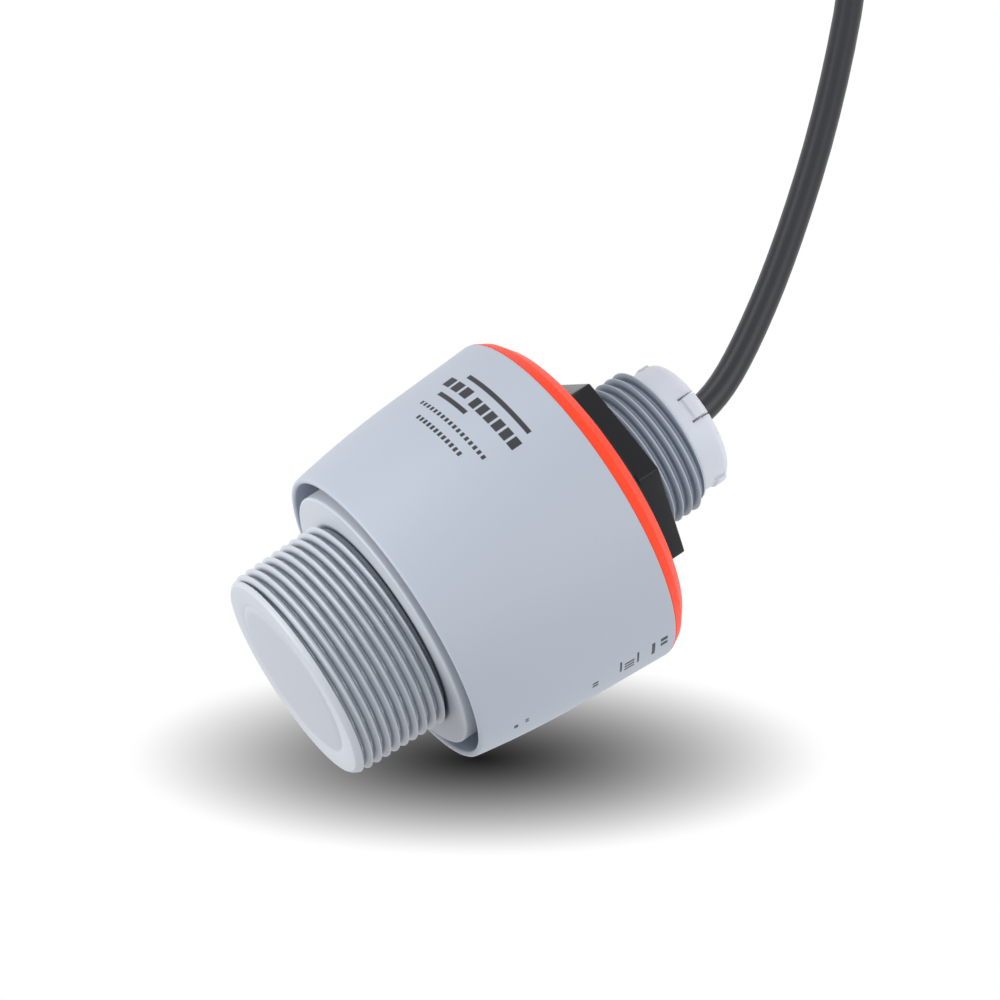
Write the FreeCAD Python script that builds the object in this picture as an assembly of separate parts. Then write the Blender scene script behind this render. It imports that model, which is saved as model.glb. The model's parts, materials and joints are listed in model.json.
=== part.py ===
import FreeCAD, Part
import math
import os

from FreeCAD import Vector

# Compact radar level sensor on a fixed cable, standing on its antenna face.
# Millimetres, +Z from the antenna face to the cable, origin at the centre of that face.

# Tapered process thread, 1 1/2 inch with 11.5 threads to the inch, and parallel neck thread, 1 inch
END_PITCH_DIAMETER = 45.621
THREAD_HEIGHT = 1.767
TAPER = 1.0 / 16.0
NECK_THREAD_DIAMETER = 33.249

# Antenna body
FACE_DISC_R = 17.4
FACE_STEP = 0.6
RIM_ROUND = 0.5
START_CHAMFER = 0.95
START_CHAMFER_LENGTH = 1.9
THREAD_LENGTH = 21.1
RELIEF_DEPTH = 1.9
RELIEF_LENGTH = 1.1
SKIRT_GAP = 2.8
SHOULDER_HEIGHT = 9.3
SHOULDER_ROUND = 0.5
SHOULDER_STEP = 1.75
BARREL_LENGTH = 12.5
BARREL_WALL = 3.6
WINDOW = 3.2
HORN_STEP = 5.0
HORN_BORE_LENGTH = 21.0
SNAP_BEAD = 0.6
SNAP_BEAD_LENGTH = 1.5

# Housing skirt
LIP_LEAD = 0.9
LIP_INSET = 4.45
LIP_WALL = 1.4
BEND_Z = 49.7
BEND_INSET = 1.3
BELLY_Z = 36.7
BELLY_INSET = 2.55
SKIRT_TOP_Z = 70.2
SKIRT_TOP_R = 38.5
SKIRT_WALL = 2.3
SKIRT_WEB = 2.5
SPIGOT_SEAT_DEPTH = 8.1
TOP_CHAMFER = 0.35

# Seals
ORING_SECTION = 1.7
ORING_GROOVE = 1.8
GASKET = 0.4
GASKET_SETBACK = 0.9

# Coloured ring
RING_INSET = 0.05
RING_SIDE = 2.2
RING_SIDE_LEAN = 1.2
RING_EDGE = 0.15
RING_HEIGHT = 4.5
RING_TOP_WALL = 0.6
RING_BORE_STEP = 2.2

# Top cover and its neck
SPIGOT_WALL = 2.7
SPIGOT_LENGTH = 7.5
COVER_WALL = 2.6
SEAT_R = 24.2
SEAT_RISE = 2.7
NECK_LENGTH = 18.4
NECK_CHAMFER = 1.4
NECK_BORE_R = 9.5
GLAND_DEPTH = 7.2
COVER_RIBS = 6
RIB_THICKNESS = 1.8

# Lock nut and washer
NUT_FLATS = 41.0
NUT_HEIGHT = 5.3
NUT_EDGE = 0.35
NUT_CORNER_ANGLE = 11.0
WASHER_R = 23.7
WASHER_THICKNESS = 1.3

# Cable collar with its snap tabs
COLLAR_R = 14.3
COLLAR_SHOULDER = 1.7
COLLAR_HEIGHT = 7.4
COLLAR_WALL = 2.1
COLLAR_SPLIT = 1.4
COLLAR_PLUG_WALL = 2.5
COLLAR_PLUG_LENGTH = 5.6
COLLAR_HUB_SINK = 1.2
COLLAR_HUB_PLATE = 2.0
COLLAR_BEVEL = 1.7
TAB_COUNT = 4
TAB_WIDTH = 5.0
TAB_SLIT = 0.5
TAB_LENGTH = 4.5
TAB_PROUD = 0.5
TAB_FIRST_ANGLE = 171.0

# Cable entry
SEAL_NECK_R = 5.0
SEAL_NECK_HEIGHT = 0.9
THRUST_WASHER = 1.4
CRIMP_WALL = 1.4
CRIMP_LENGTH = 4.0
INNER_CABLE = 2.0
POTTING_LENGTH = 7.0
CORE_R = 0.75
CORE_SPACING = 1.8

# Radar optics and boards
LENS_CLEARANCE = 0.6
LENS_EDGE = 3.0
LENS_CROWN = 4.8
LENS_FLANGE = 3.4
HORN_WALL = 1.6
HORN_THROAT_R = 1.7
HORN_FLANGE_CLEARANCE = 0.7
HORN_FLANGE = 2.8
CHIP_WELL_R = 5.2
CHIP_WELL_DEPTH = 1.6
ABSORBER_HEIGHT = 6.0
ABSORBER_WALL = 3.2
BOARD = 1.6
RADAR_BOARD_CLEARANCE = 5.5
POWER_BOARD_CLEARANCE = 2.5
BOARD_SPACING = 15.0
POST_R = 2.3
POST_INSET = 3.4
POST_COUNT = 3
SCREW_R = 1.25
SCREW_HEAD_R = 2.25
SCREW_HEAD = 1.6
SCREW_LENGTH = 6.0

# Pieces on the boards: width, depth and height, or radius and height
RADAR_CHIP = (6.0, 6.0, 0.9)
SHIELD_CAN = (15.0, 13.0, 2.6)
SHIELD_WALL = 0.3
HEADER = (12.7, 2.6)
PROCESSOR = (8.0, 8.0, 1.2)
PROCESSOR_Y = 6.0
INDUCTOR = (4.6, 5.0)
BOARD_GAP = 2.4
INDUCTOR_GAP = 4.9
CAPACITOR = (3.6, 9.0)
CAPACITOR_Y = 6.5
SOCKET = (14.0, 9.0, 7.0)
SOCKET_FLOOR = 1.4
PLUG = (12.0, 7.0, 12.0)
PLUG_HOLE = 2.0

# Cable
CABLE_D = 6.3
HANK_COLUMNS = 3
HANK_ROWS = 6
HANK_WIDTH = 76.0
HANK_RUN = 35.0
HANK_CENTRE_Y = 227.0
LANDING_RUN = 18.9
LANDING_BACK = 35.4
LANDING_RISE = 9.5
TIE_ANGLES = (252.0, 322.0)
TIE_WIDTH = 4.8
TIE_THICKNESS = 0.8
TIE_HEAD = (7.0, 6.6, 4.0)
TAIL_ANGLES = (150.0, 125.0, 100.0, 75.0, 50.0, 25.0, 0.0)
TAIL_END = (4.0, -14.3)
TAIL_SLEEVE_LENGTH = 7.5
TAIL_SLEEVE_WALL = 0.45
TAIL_CORE_LENGTH = 24.0
TAIL_CORE_FAN = 7.0
FERRULE_LENGTH = 8.0
FERRULE_WALL = 0.3

# Clearances
SLIP = 0.05
LOOSE = 0.1

# Places worked out from the sizes
rim_z = FACE_STEP
thread_end_z = rim_z + THREAD_LENGTH
shoulder_z = thread_end_z + RELIEF_LENGTH
web_z = shoulder_z + SHOULDER_HEIGHT
barrel_top_z = web_z + BARREL_LENGTH
lip_r = SKIRT_TOP_R - LIP_INSET
belly_r = SKIRT_TOP_R - BELLY_INSET
bend_r = SKIRT_TOP_R - BEND_INSET
shoulder_r = lip_r - LIP_WALL - SKIRT_GAP
barrel_r = shoulder_r - SHOULDER_STEP
barrel_bore_r = barrel_r - BARREL_WALL
horn_bore_r = barrel_bore_r - HORN_STEP
lens_r = horn_bore_r - LENS_CLEARANCE
horn_flange_r = barrel_bore_r - HORN_FLANGE_CLEARANCE
radar_board_r = barrel_bore_r - RADAR_BOARD_CLEARANCE
power_board_r = barrel_bore_r - POWER_BOARD_CLEARANCE
post_circle_r = radar_board_r - POST_INSET
horn_seat_z = WINDOW + HORN_BORE_LENGTH
lip_z = shoulder_z + LIP_LEAD
gasket_z = SKIRT_TOP_Z - GASKET
ring_top_z = SKIRT_TOP_Z + RING_HEIGHT
seat_z = ring_top_z + SEAT_RISE
neck_r = NECK_THREAD_DIAMETER / 2.0
gland_bore_r = COLLAR_R - COLLAR_SHOULDER
neck_top_z = seat_z + NECK_LENGTH
gland_z = neck_top_z - GLAND_DEPTH
spigot_seat_r = SKIRT_TOP_R - SKIRT_WALL
spigot_r = spigot_seat_r - LOOSE
ring_r = SKIRT_TOP_R - RING_INSET
gasket_r = SKIRT_TOP_R - GASKET_SETBACK
ring_bore_r = spigot_seat_r - RING_BORE_STEP
ring_top_r = ring_bore_r + RING_TOP_WALL
nut_z = seat_z + WASHER_THICKNESS
collar_top_z = neck_top_z + COLLAR_HEIGHT
hub_top_z = collar_top_z - COLLAR_HUB_SINK
collar_bore_r = gland_bore_r - SLIP - COLLAR_PLUG_WALL
cable_r = CABLE_D / 2.0
cable_start_z = gland_z - CRIMP_LENGTH - INNER_CABLE
radar_board_z = horn_seat_z + HORN_FLANGE
power_board_z = radar_board_z + BOARD_SPACING
parts_z = power_board_z + BOARD
plug_z = parts_z + SOCKET_FLOOR
hank_low_z = TIE_THICKNESS
hank_top_z = hank_low_z + HANK_ROWS * CABLE_D
lane_z = hank_low_z + cable_r
tail_z = hank_top_z + cable_r + TAIL_SLEEVE_WALL
hank_outer_r = HANK_WIDTH / 2.0
hank_inner_r = hank_outer_r - HANK_COLUMNS * CABLE_D
hank_near_y = HANK_CENTRE_Y - HANK_RUN / 2.0
hank_far_y = HANK_CENTRE_Y + HANK_RUN / 2.0
turn_r = hank_outer_r - cable_r
cable_lane_x = -turn_r
cable_touch_y = hank_near_y - math.sqrt((hank_outer_r + cable_r) ** 2 - turn_r ** 2)

# The cable's way from inside the neck, over and down to the coil, chosen by hand
CABLE_ROUTE = [
    (0.0, 0.0, cable_start_z),
    (0.02, 0.0, 93.9),
    (0.0, 0.0, 107.6),
    (0.0, 5.1, 120.3),
    (0.0, 19.0, 142.3),
    (0.0, 41.5, 170.8),
    (-1.0, 70.0, 199.0),
    (-4.0, 101.0, 209.0),
    (-9.0, 128.0, 194.0),
    (-15.0, 139.5, 164.0),
    (-21.0, 142.2, 132.0),
    (-27.0, 142.6, 99.0),
    (-32.5, 142.4, 66.0),
    (cable_lane_x, 142.2, 30.2),
    (cable_lane_x, cable_touch_y - LANDING_BACK, lane_z + LANDING_RISE),
    (cable_lane_x, cable_touch_y - LANDING_RUN, lane_z),
    (cable_lane_x, cable_touch_y, lane_z),
]


def crest_radius(z):
    """Crest radius of the tapered thread at a height above the antenna face."""
    return (END_PITCH_DIAMETER + THREAD_HEIGHT + (z - rim_z) * TAPER) / 2.0


def lathe(start, *steps):
    """Solid of revolution about Z; a step is a point, or a middle and an end point of an arc."""
    edges = []
    here = Vector(start[0], 0, start[1])
    first = here
    for step in steps:
        if isinstance(step[0], tuple):
            middle = Vector(step[0][0], 0, step[0][1])
            end = Vector(step[1][0], 0, step[1][1])
            edges.append(Part.Arc(here, middle, end).toShape())
        else:
            end = Vector(step[0], 0, step[1])
            edges.append(Part.LineSegment(here, end).toShape())
        here = end
    edges.append(Part.LineSegment(here, first).toShape())
    face = Part.Face(Part.Wire(edges))
    return face.revolve(Vector(0, 0, 0), Vector(0, 0, 1), 360)


def ring(inner_r, outer_r, low_z, high_z):
    """Plain ring about Z."""
    return lathe((inner_r, low_z), (outer_r, low_z), (outer_r, high_z), (inner_r, high_z))


def cylinder(radius, height, base, direction=Vector(0, 0, 1)):
    """Cylinder from a base point along a direction."""
    return Part.makeCylinder(radius, height, Vector(*base), direction)


def block(width, depth, height, centre_x, centre_y, low_z):
    """Box centred on a point of the plan, from a height up."""
    corner = Vector(centre_x - width / 2.0, centre_y - depth / 2.0, low_z)
    return Part.makeBox(width, depth, height, corner)


def turned(shape, angle):
    """Copy of a shape turned about Z."""
    copy = shape.copy()
    copy.rotate(Vector(0, 0, 0), Vector(0, 0, 1), angle)
    return copy


def around(radius, angle):
    """Plan position at a radius and an angle in degrees."""
    return radius * math.cos(math.radians(angle)), radius * math.sin(math.radians(angle))


def rounding(corner, from_side, to_side, radius):
    """Start, middle and end of the quarter arc that rounds a square corner of an outline."""
    start = (corner[0] + from_side[0] * radius, corner[1] + from_side[1] * radius)
    end = (corner[0] + to_side[0] * radius, corner[1] + to_side[1] * radius)
    pull = 1.0 - math.sqrt(0.5)
    middle = (corner[0] + (from_side[0] + to_side[0]) * radius * pull,
              corner[1] + (from_side[1] + to_side[1]) * radius * pull)
    return start, middle, end


def oring(groove_floor_r, middle_z):
    """O-ring that sits on a groove floor and reaches a little short of the wall around it."""
    section_r = ORING_SECTION / 2.0
    centre_r = groove_floor_r + section_r
    return Part.makeTorus(centre_r, section_r, Vector(0, 0, middle_z))


def cord_path(points):
    """Straight runs joined by tangent arcs, each as large as its two runs allow."""
    places = [Vector(*point) for point in points]
    edges = []
    radii = []
    here = places[0]
    for before, corner, after in zip(places, places[1:], places[2:]):
        arriving = corner - before
        leaving = after - corner
        turn = arriving.getAngle(leaving)
        cut = 0.45 * min(arriving.Length, leaving.Length)
        radius = cut / math.tan(turn / 2.0)
        start = corner - arriving.normalize() * cut
        end = corner + leaving.normalize() * cut
        inward = ((start + end) * 0.5 - corner).normalize()
        middle = corner + inward * (radius / math.cos(turn / 2.0) - radius)
        edges.append(Part.LineSegment(here, start).toShape())
        edges.append(Part.Arc(start, middle, end).toShape())
        radii.append(radius)
        here = end
    edges.append(Part.LineSegment(here, places[-1]).toShape())
    return Part.Wire(edges), radii


def cord_tube(points, name):
    """Round tube along a cord's route, with its bend radii and volume printed."""
    path, radii = cord_path(points)
    along = Vector(*points[1]) - Vector(*points[0])
    circle = Part.Wire(Part.makeCircle(cable_r, Vector(*points[0]), along))
    tube = path.makePipeShell([circle], True, True)
    expected = math.pi * cable_r ** 2 * path.Length
    print(name, "length", round(path.Length, 1), "radii", [round(radius, 1) for radius in radii],
          "volume", round(tube.Volume, 1), "expected", round(expected, 1))
    return tube


def antenna_body():
    """Closed antenna front with its tapered thread, shoulder and the barrel that holds the boards."""
    face_edge = rounding((FACE_DISC_R, 0.0), (-1, 0), (0, 1), FACE_STEP * 0.8)
    rim = rounding((crest_radius(rim_z) - START_CHAMFER, rim_z), (-1, 0), (0, 1), RIM_ROUND)
    full_z = rim_z + START_CHAMFER_LENGTH
    relief_r = crest_radius(thread_end_z) - RELIEF_DEPTH
    shoulder = rounding((shoulder_r, shoulder_z), (-1, 0), (0, 1), SHOULDER_ROUND)
    groove_z = web_z + (SKIRT_WEB - ORING_GROOVE) / 2.0
    groove_r = barrel_r - ORING_SECTION
    bead_z = web_z + SKIRT_WEB + SLIP
    return lathe(
        (0.0, 0.0), face_edge[0], (face_edge[1], face_edge[2]), (FACE_DISC_R, rim_z),
        rim[0], (rim[1], rim[2]), (crest_radius(full_z), full_z),
        (crest_radius(thread_end_z), thread_end_z),
        (relief_r, thread_end_z), (relief_r, shoulder_z),
        shoulder[0], (shoulder[1], shoulder[2]), (shoulder_r, web_z), (barrel_r, web_z),
        (barrel_r, groove_z), (groove_r, groove_z),
        (groove_r, groove_z + ORING_GROOVE), (barrel_r, groove_z + ORING_GROOVE),
        (barrel_r, bead_z), (barrel_r + SNAP_BEAD, bead_z),
        (barrel_r, bead_z + SNAP_BEAD_LENGTH), (barrel_r, barrel_top_z),
        (barrel_bore_r, barrel_top_z), (barrel_bore_r, horn_seat_z),
        (horn_bore_r, horn_seat_z), (horn_bore_r, WINDOW), (0.0, WINDOW))


def body_seal():
    """O-ring between the barrel and the web of the skirt."""
    return oring(barrel_r - ORING_SECTION, web_z + SKIRT_WEB / 2.0)


def housing_skirt():
    """Bell-shaped outer shell with a web that the antenna body snaps into."""
    inner_lip_r = lip_r - LIP_WALL
    nose = LIP_WALL / 2.0
    web_top_z = web_z + SKIRT_WEB
    slope = (SKIRT_TOP_R - bend_r) / (SKIRT_TOP_Z - BEND_Z)
    spigot_floor_z = SKIRT_TOP_Z - SPIGOT_SEAT_DEPTH
    upper_inner_r = bend_r + slope * (spigot_floor_z - BEND_Z) - SKIRT_WALL
    gap_wall_r = inner_lip_r + LIP_WALL / 2.0
    belly_inner = (belly_r - SKIRT_WALL, BELLY_Z)
    return lathe(
        (inner_lip_r, lip_z + nose), ((inner_lip_r + nose, lip_z), (lip_r, lip_z + nose)),
        ((belly_r, BELLY_Z), (bend_r, BEND_Z)),
        (SKIRT_TOP_R - slope * TOP_CHAMFER, SKIRT_TOP_Z - TOP_CHAMFER),
        (SKIRT_TOP_R - TOP_CHAMFER, SKIRT_TOP_Z), (gasket_r + LOOSE, SKIRT_TOP_Z),
        (gasket_r + LOOSE, gasket_z), (spigot_seat_r, gasket_z),
        (spigot_seat_r, spigot_floor_z), (upper_inner_r, spigot_floor_z),
        (bend_r - SKIRT_WALL, BEND_Z),
        belly_inner, (belly_inner[0], web_top_z), (barrel_r + LOOSE, web_top_z),
        (barrel_r + LOOSE, web_z), (gap_wall_r, web_z))


def cover_gasket():
    """Flat gasket in a step of the skirt's upper edge, under the coloured ring."""
    return ring(ring_bore_r + LOOSE, gasket_r, gasket_z, SKIRT_TOP_Z)


def color_ring():
    """Coloured ring: a leaning side flush with the skirt and a broad sloping top."""
    side_top_r = ring_r - RING_SIDE_LEAN
    return lathe(
        (ring_bore_r, SKIRT_TOP_Z), (ring_r - RING_EDGE, SKIRT_TOP_Z), (ring_r, SKIRT_TOP_Z + RING_EDGE),
        (side_top_r, SKIRT_TOP_Z + RING_SIDE), (ring_top_r, ring_top_z), (ring_bore_r, ring_top_z))


def top_cover():
    """Cover with its spigot, nut seat and threaded cable neck, stiffened by ribs inside."""
    groove_z = gasket_z - SPIGOT_LENGTH / 2.0
    groove_r = spigot_r - ORING_SECTION + LOOSE
    foot_z = gasket_z - SPIGOT_LENGTH
    spigot_inner_r = spigot_r - SPIGOT_WALL
    cone_r = ring_bore_r - SLIP
    roof_z = SKIRT_TOP_Z
    roof_rise = SEAT_RISE + RING_HEIGHT - COVER_WALL
    shell = lathe(
        (spigot_inner_r, foot_z), (spigot_r, foot_z), (spigot_r, groove_z), (groove_r, groove_z),
        (groove_r, groove_z + ORING_GROOVE), (spigot_r, groove_z + ORING_GROOVE),
        (spigot_r, gasket_z), (cone_r, gasket_z), (cone_r, ring_top_z), (SEAT_R, seat_z),
        (neck_r, seat_z), (neck_r, neck_top_z - NECK_CHAMFER / 2.0),
        (neck_r - NECK_CHAMFER, neck_top_z), (gland_bore_r, neck_top_z),
        (gland_bore_r, gland_z), (NECK_BORE_R, gland_z), (NECK_BORE_R, roof_z + roof_rise),
        (SEAT_R - COVER_WALL, roof_z + roof_rise), (spigot_inner_r - COVER_WALL, roof_z),
        (spigot_inner_r, roof_z - COVER_WALL))
    inner_r = NECK_BORE_R + 2.0 * COVER_WALL
    rib_foot_z = roof_z - COVER_WALL
    rib_length = spigot_inner_r - inner_r - COVER_WALL
    rib = block(rib_length, RIB_THICKNESS, roof_rise, inner_r + rib_length / 2.0, 0.0, rib_foot_z)
    ribs = [turned(rib, index * 360.0 / COVER_RIBS) for index in range(COVER_RIBS)]
    hub = ring(NECK_BORE_R, inner_r + SLIP, rib_foot_z, roof_z + roof_rise + SLIP)
    space = lathe((0.0, rib_foot_z), (spigot_inner_r, rib_foot_z), (spigot_inner_r - COVER_WALL, roof_z),
                  (SEAT_R - COVER_WALL, roof_z + roof_rise), (0.0, roof_z + roof_rise))
    inside = [piece.common(space) for piece in ribs + [hub]]
    return shell.multiFuse(inside).removeSplitter()


def cover_seal():
    """O-ring in the groove of the cover's spigot."""
    groove_r = spigot_r - ORING_SECTION + LOOSE
    middle_z = gasket_z - SPIGOT_LENGTH / 2.0 + ORING_GROOVE / 2.0
    return oring(groove_r, middle_z)


def nut_washer():
    """Flat washer between the lock nut and its seat."""
    return ring(neck_r + SLIP, WASHER_R, seat_z, nut_z)


def lock_nut():
    """Hexagon lock nut; its thread is a plain bore at the thread's outer diameter."""
    corner_r = NUT_FLATS / 2.0 / math.cos(math.radians(30.0))
    corners = [Vector(*around(corner_r, NUT_CORNER_ANGLE + 60.0 * index), nut_z) for index in range(7)]
    prism = Part.Face(Part.makePolygon(corners)).extrude(Vector(0, 0, NUT_HEIGHT))
    bore_r = neck_r + SLIP
    top_z = nut_z + NUT_HEIGHT
    bore = lathe(
        (0.0, nut_z), (bore_r + NUT_EDGE, nut_z), (bore_r, nut_z + NUT_EDGE),
        (bore_r, top_z - NUT_EDGE), (bore_r + NUT_EDGE, top_z), (0.0, top_z))
    return prism.cut(bore)


def collar_tab(angle):
    """Latching nose of one snap tab, standing proud of the collar's wall."""
    low_z = collar_top_z - TAB_LENGTH + TAB_SLIT
    high_z = collar_top_z - COLLAR_BEVEL / 2.0
    nose = lathe(
        (COLLAR_R - COLLAR_WALL / 2.0, low_z), (COLLAR_R, low_z), (COLLAR_R + TAB_PROUD, low_z + TAB_PROUD),
        (COLLAR_R + TAB_PROUD, high_z - TAB_PROUD), (COLLAR_R - COLLAR_WALL / 2.0, high_z))
    window = block(COLLAR_R * 2.0, TAB_WIDTH, COLLAR_HEIGHT, COLLAR_R, 0.0, neck_top_z)
    return turned(nose.common(window), angle)


def cable_collar():
    """Snap-in collar: a plug in the neck, a hub round the cable seal and four slit tabs."""
    plug_r = gland_bore_r - SLIP
    plug_z = neck_top_z - COLLAR_PLUG_LENGTH
    wall_r = COLLAR_R - COLLAR_WALL
    hub_r = wall_r - COLLAR_SPLIT
    floor_z = collar_top_z - TAB_LENGTH - COLLAR_WALL / 2.0
    hub_floor_z = hub_top_z - COLLAR_HUB_PLATE
    bevel = COLLAR_BEVEL
    body = lathe(
        (collar_bore_r, plug_z), (plug_r, plug_z), (plug_r, neck_top_z), (COLLAR_R, neck_top_z),
        (COLLAR_R, collar_top_z - bevel),
        ((COLLAR_R - bevel * 0.3, collar_top_z - bevel * 0.35), (COLLAR_R - bevel, collar_top_z)),
        (wall_r, collar_top_z), (wall_r, floor_z), (hub_r, floor_z), (hub_r, hub_top_z),
        (SEAL_NECK_R + LOOSE, hub_top_z), (SEAL_NECK_R + LOOSE, hub_floor_z), (collar_bore_r, hub_floor_z))
    angles = [TAB_FIRST_ANGLE + index * 360.0 / TAB_COUNT for index in range(TAB_COUNT)]
    noses = [collar_tab(angle) for angle in angles]
    side = TAB_WIDTH / 2.0 + TAB_SLIT / 2.0
    slits = []
    for angle in angles:
        for offset in (-side, side):
            slit = block(COLLAR_WALL * 3.0, TAB_SLIT, TAB_LENGTH, COLLAR_R, offset, collar_top_z - TAB_LENGTH)
            slits.append(turned(slit, angle))
    return body.multiFuse(noses).cut(Part.makeCompound(slits))


def cable_seal():
    """Rubber seal round the cable, filling the collar's bore, with a short neck above the hub."""
    hub_floor_z = hub_top_z - COLLAR_HUB_PLATE
    low_z = gland_z + THRUST_WASHER
    body_r = collar_bore_r - SLIP
    bore_r = cable_r + SLIP
    top_z = hub_top_z + SEAL_NECK_HEIGHT
    neck = rounding((SEAL_NECK_R, top_z), (0, -1), (-1, 0), SEAL_NECK_HEIGHT * 0.9)
    return lathe(
        (bore_r, low_z), (body_r, low_z), (body_r, hub_floor_z), (SEAL_NECK_R, hub_floor_z),
        neck[0], (neck[1], neck[2]), (bore_r, top_z))


def thrust_washer():
    """Hard washer on the step of the neck, under the rubber seal."""
    return ring(cable_r + LOOSE, gland_bore_r - LOOSE, gland_z, gland_z + THRUST_WASHER)


def crimp_sleeve():
    """Metal sleeve crimped on the cable below the thrust washer, so that it can't be pulled out."""
    bore_r = cable_r + SLIP
    return ring(bore_r, bore_r + CRIMP_WALL, gland_z - CRIMP_LENGTH, gland_z)


def potting_plug():
    """Resin plug in the neck, round the bared cores."""
    high_z = cable_start_z
    plug = cylinder(NECK_BORE_R - SLIP, POTTING_LENGTH, (0, 0, high_z - POTTING_LENGTH))
    for side in (-1, 1):
        plug = plug.cut(cylinder(CORE_R + SLIP, POTTING_LENGTH, (side * CORE_SPACING, 0, high_z - POTTING_LENGTH)))
    return plug


def inner_core(side):
    """One core from the cable's bared end to the plug on the power board."""
    low_z = plug_z + PLUG[2] - PLUG_HOLE
    return cylinder(CORE_R, cable_start_z - low_z, (side * CORE_SPACING, 0, low_z))


def cable_plug():
    """Plug on the inner cores."""
    width, depth, height = PLUG
    plug = block(width, depth, height, 0, 0, plug_z)
    for side in (-1, 1):
        hole = cylinder(CORE_R + SLIP, PLUG_HOLE, (side * CORE_SPACING, 0, plug_z + height - PLUG_HOLE))
        plug = plug.cut(hole)
    return plug


def board_socket():
    """Shrouded socket on the power board that takes the cable's plug."""
    width, depth, height = SOCKET
    shroud = block(width, depth, height, 0, 0, parts_z)
    pocket = block(PLUG[0] + 2 * LOOSE, PLUG[1] + 2 * LOOSE, height, 0, 0, plug_z)
    return shroud.cut(pocket)


def radar_lens():
    """Dielectric lens: a flanged disc with a domed side towards the horn."""
    dome_r = lens_r - LENS_FLANGE
    edge_z = WINDOW + LENS_EDGE
    radius = (dome_r ** 2 + LENS_CROWN ** 2) / (2.0 * LENS_CROWN)
    half = math.asin(dome_r / radius) / 2.0
    middle = (radius * math.sin(half), edge_z + LENS_CROWN - radius * (1.0 - math.cos(half)))
    return lathe(
        (0.0, WINDOW), (lens_r, WINDOW), (lens_r, edge_z), (dome_r, edge_z),
        (middle, (0.0, edge_z + LENS_CROWN)))


def horn():
    """Conical horn that stands on the lens and hangs from its flange on the body's step."""
    mouth_z = WINDOW + LENS_EDGE
    mouth_r = lens_r - LENS_FLANGE
    well_z = radar_board_z - CHIP_WELL_DEPTH
    cone = lathe(
        (mouth_r, mouth_z), (mouth_r + HORN_WALL, mouth_z), (HORN_THROAT_R + 2 * HORN_WALL, horn_seat_z),
        (horn_flange_r, horn_seat_z), (horn_flange_r, radar_board_z), (CHIP_WELL_R, radar_board_z),
        (CHIP_WELL_R, well_z), (HORN_THROAT_R, well_z))
    for angle in post_angles():
        x, y = around(post_circle_r, angle)
        cone = cone.cut(cylinder(SCREW_R + SLIP, HORN_FLANGE, (x, y, horn_seat_z)))
    return cone


def absorber_ring():
    """Foam ring that soaks up stray radar signals between the horn and the bore."""
    outer_r = horn_bore_r - SLIP
    return ring(outer_r - ABSORBER_WALL, outer_r, horn_seat_z - ABSORBER_HEIGHT - LOOSE, horn_seat_z - LOOSE)


def post_angles():
    """Angles of the spacer posts round the axis."""
    return [90.0 + index * 360.0 / POST_COUNT for index in range(POST_COUNT)]


def board(radius, low_z):
    """Round circuit board with clearance holes for the posts' screws and studs."""
    disc = cylinder(radius, BOARD, (0, 0, low_z))
    for angle in post_angles():
        x, y = around(post_circle_r, angle)
        disc = disc.cut(cylinder(SCREW_R + LOOSE, BOARD, (x, y, low_z)))
    return disc


def spacer_post(angle):
    """Post between the boards, with a stud below and a tapped hole above."""
    x, y = around(post_circle_r, angle)
    low_z = radar_board_z + BOARD
    length = power_board_z - low_z
    stud_length = BOARD + HORN_FLANGE - 2 * LOOSE
    post = cylinder(POST_R, length, (x, y, low_z))
    stud = cylinder(SCREW_R, stud_length, (x, y, low_z - stud_length))
    hole_depth = SCREW_LENGTH - BOARD + LOOSE
    hole = cylinder(SCREW_R + SLIP, hole_depth, (x, y, power_board_z - hole_depth))
    return post.fuse(stud).removeSplitter().cut(hole)


def board_screw(angle):
    """Pan-head screw through the power board into a post."""
    x, y = around(post_circle_r, angle)
    shank = cylinder(SCREW_R, SCREW_LENGTH, (x, y, parts_z - SCREW_LENGTH))
    head = cylinder(SCREW_HEAD_R, SCREW_HEAD, (x, y, parts_z))
    recess = cylinder(SCREW_R * 0.7, SCREW_HEAD / 2.0, (x, y, parts_z + SCREW_HEAD / 2.0))
    return head.fuse(shank).removeSplitter().cut(recess)


def radar_chip():
    """Radar transceiver under the radar board, over the horn's throat."""
    width, depth, height = RADAR_CHIP
    return block(width, depth, height, 0, 0, radar_board_z - height)


def shield_can():
    """Pressed metal can over the circuits on the radar board."""
    width, depth, height = SHIELD_CAN
    low_z = radar_board_z + BOARD
    can = block(width, depth, height, 0, 0, low_z)
    return can.cut(block(width - 2 * SHIELD_WALL, depth - 2 * SHIELD_WALL, height - SHIELD_WALL, 0, 0, low_z))


def board_header():
    """Tall pin header that joins the two boards."""
    low_z = radar_board_z + BOARD
    y = -(SHIELD_CAN[1] / 2.0 + BOARD_GAP + HEADER[1] / 2.0)
    return block(HEADER[0], HEADER[1], power_board_z - low_z, 0, y, low_z)


def processor():
    """Controller chip on the power board."""
    x = SOCKET[0] / 2.0 + BOARD_GAP + PROCESSOR[0] / 2.0
    return block(*PROCESSOR, x, PROCESSOR_Y, parts_z)


def inductor():
    """Drum inductor of the loop supply, waisted between its two flanges."""
    radius, height = INDUCTOR
    flange = height / 5.0
    y = -(SOCKET[1] / 2.0 + INDUCTOR_GAP + radius)
    drum = lathe(
        (0.0, parts_z), (radius, parts_z), (radius, parts_z + flange), (radius * 0.75, parts_z + flange),
        (radius * 0.75, parts_z + height - flange), (radius, parts_z + height - flange),
        (radius, parts_z + height), (0.0, parts_z + height))
    drum.translate(Vector(0, y, 0))
    return drum


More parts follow.
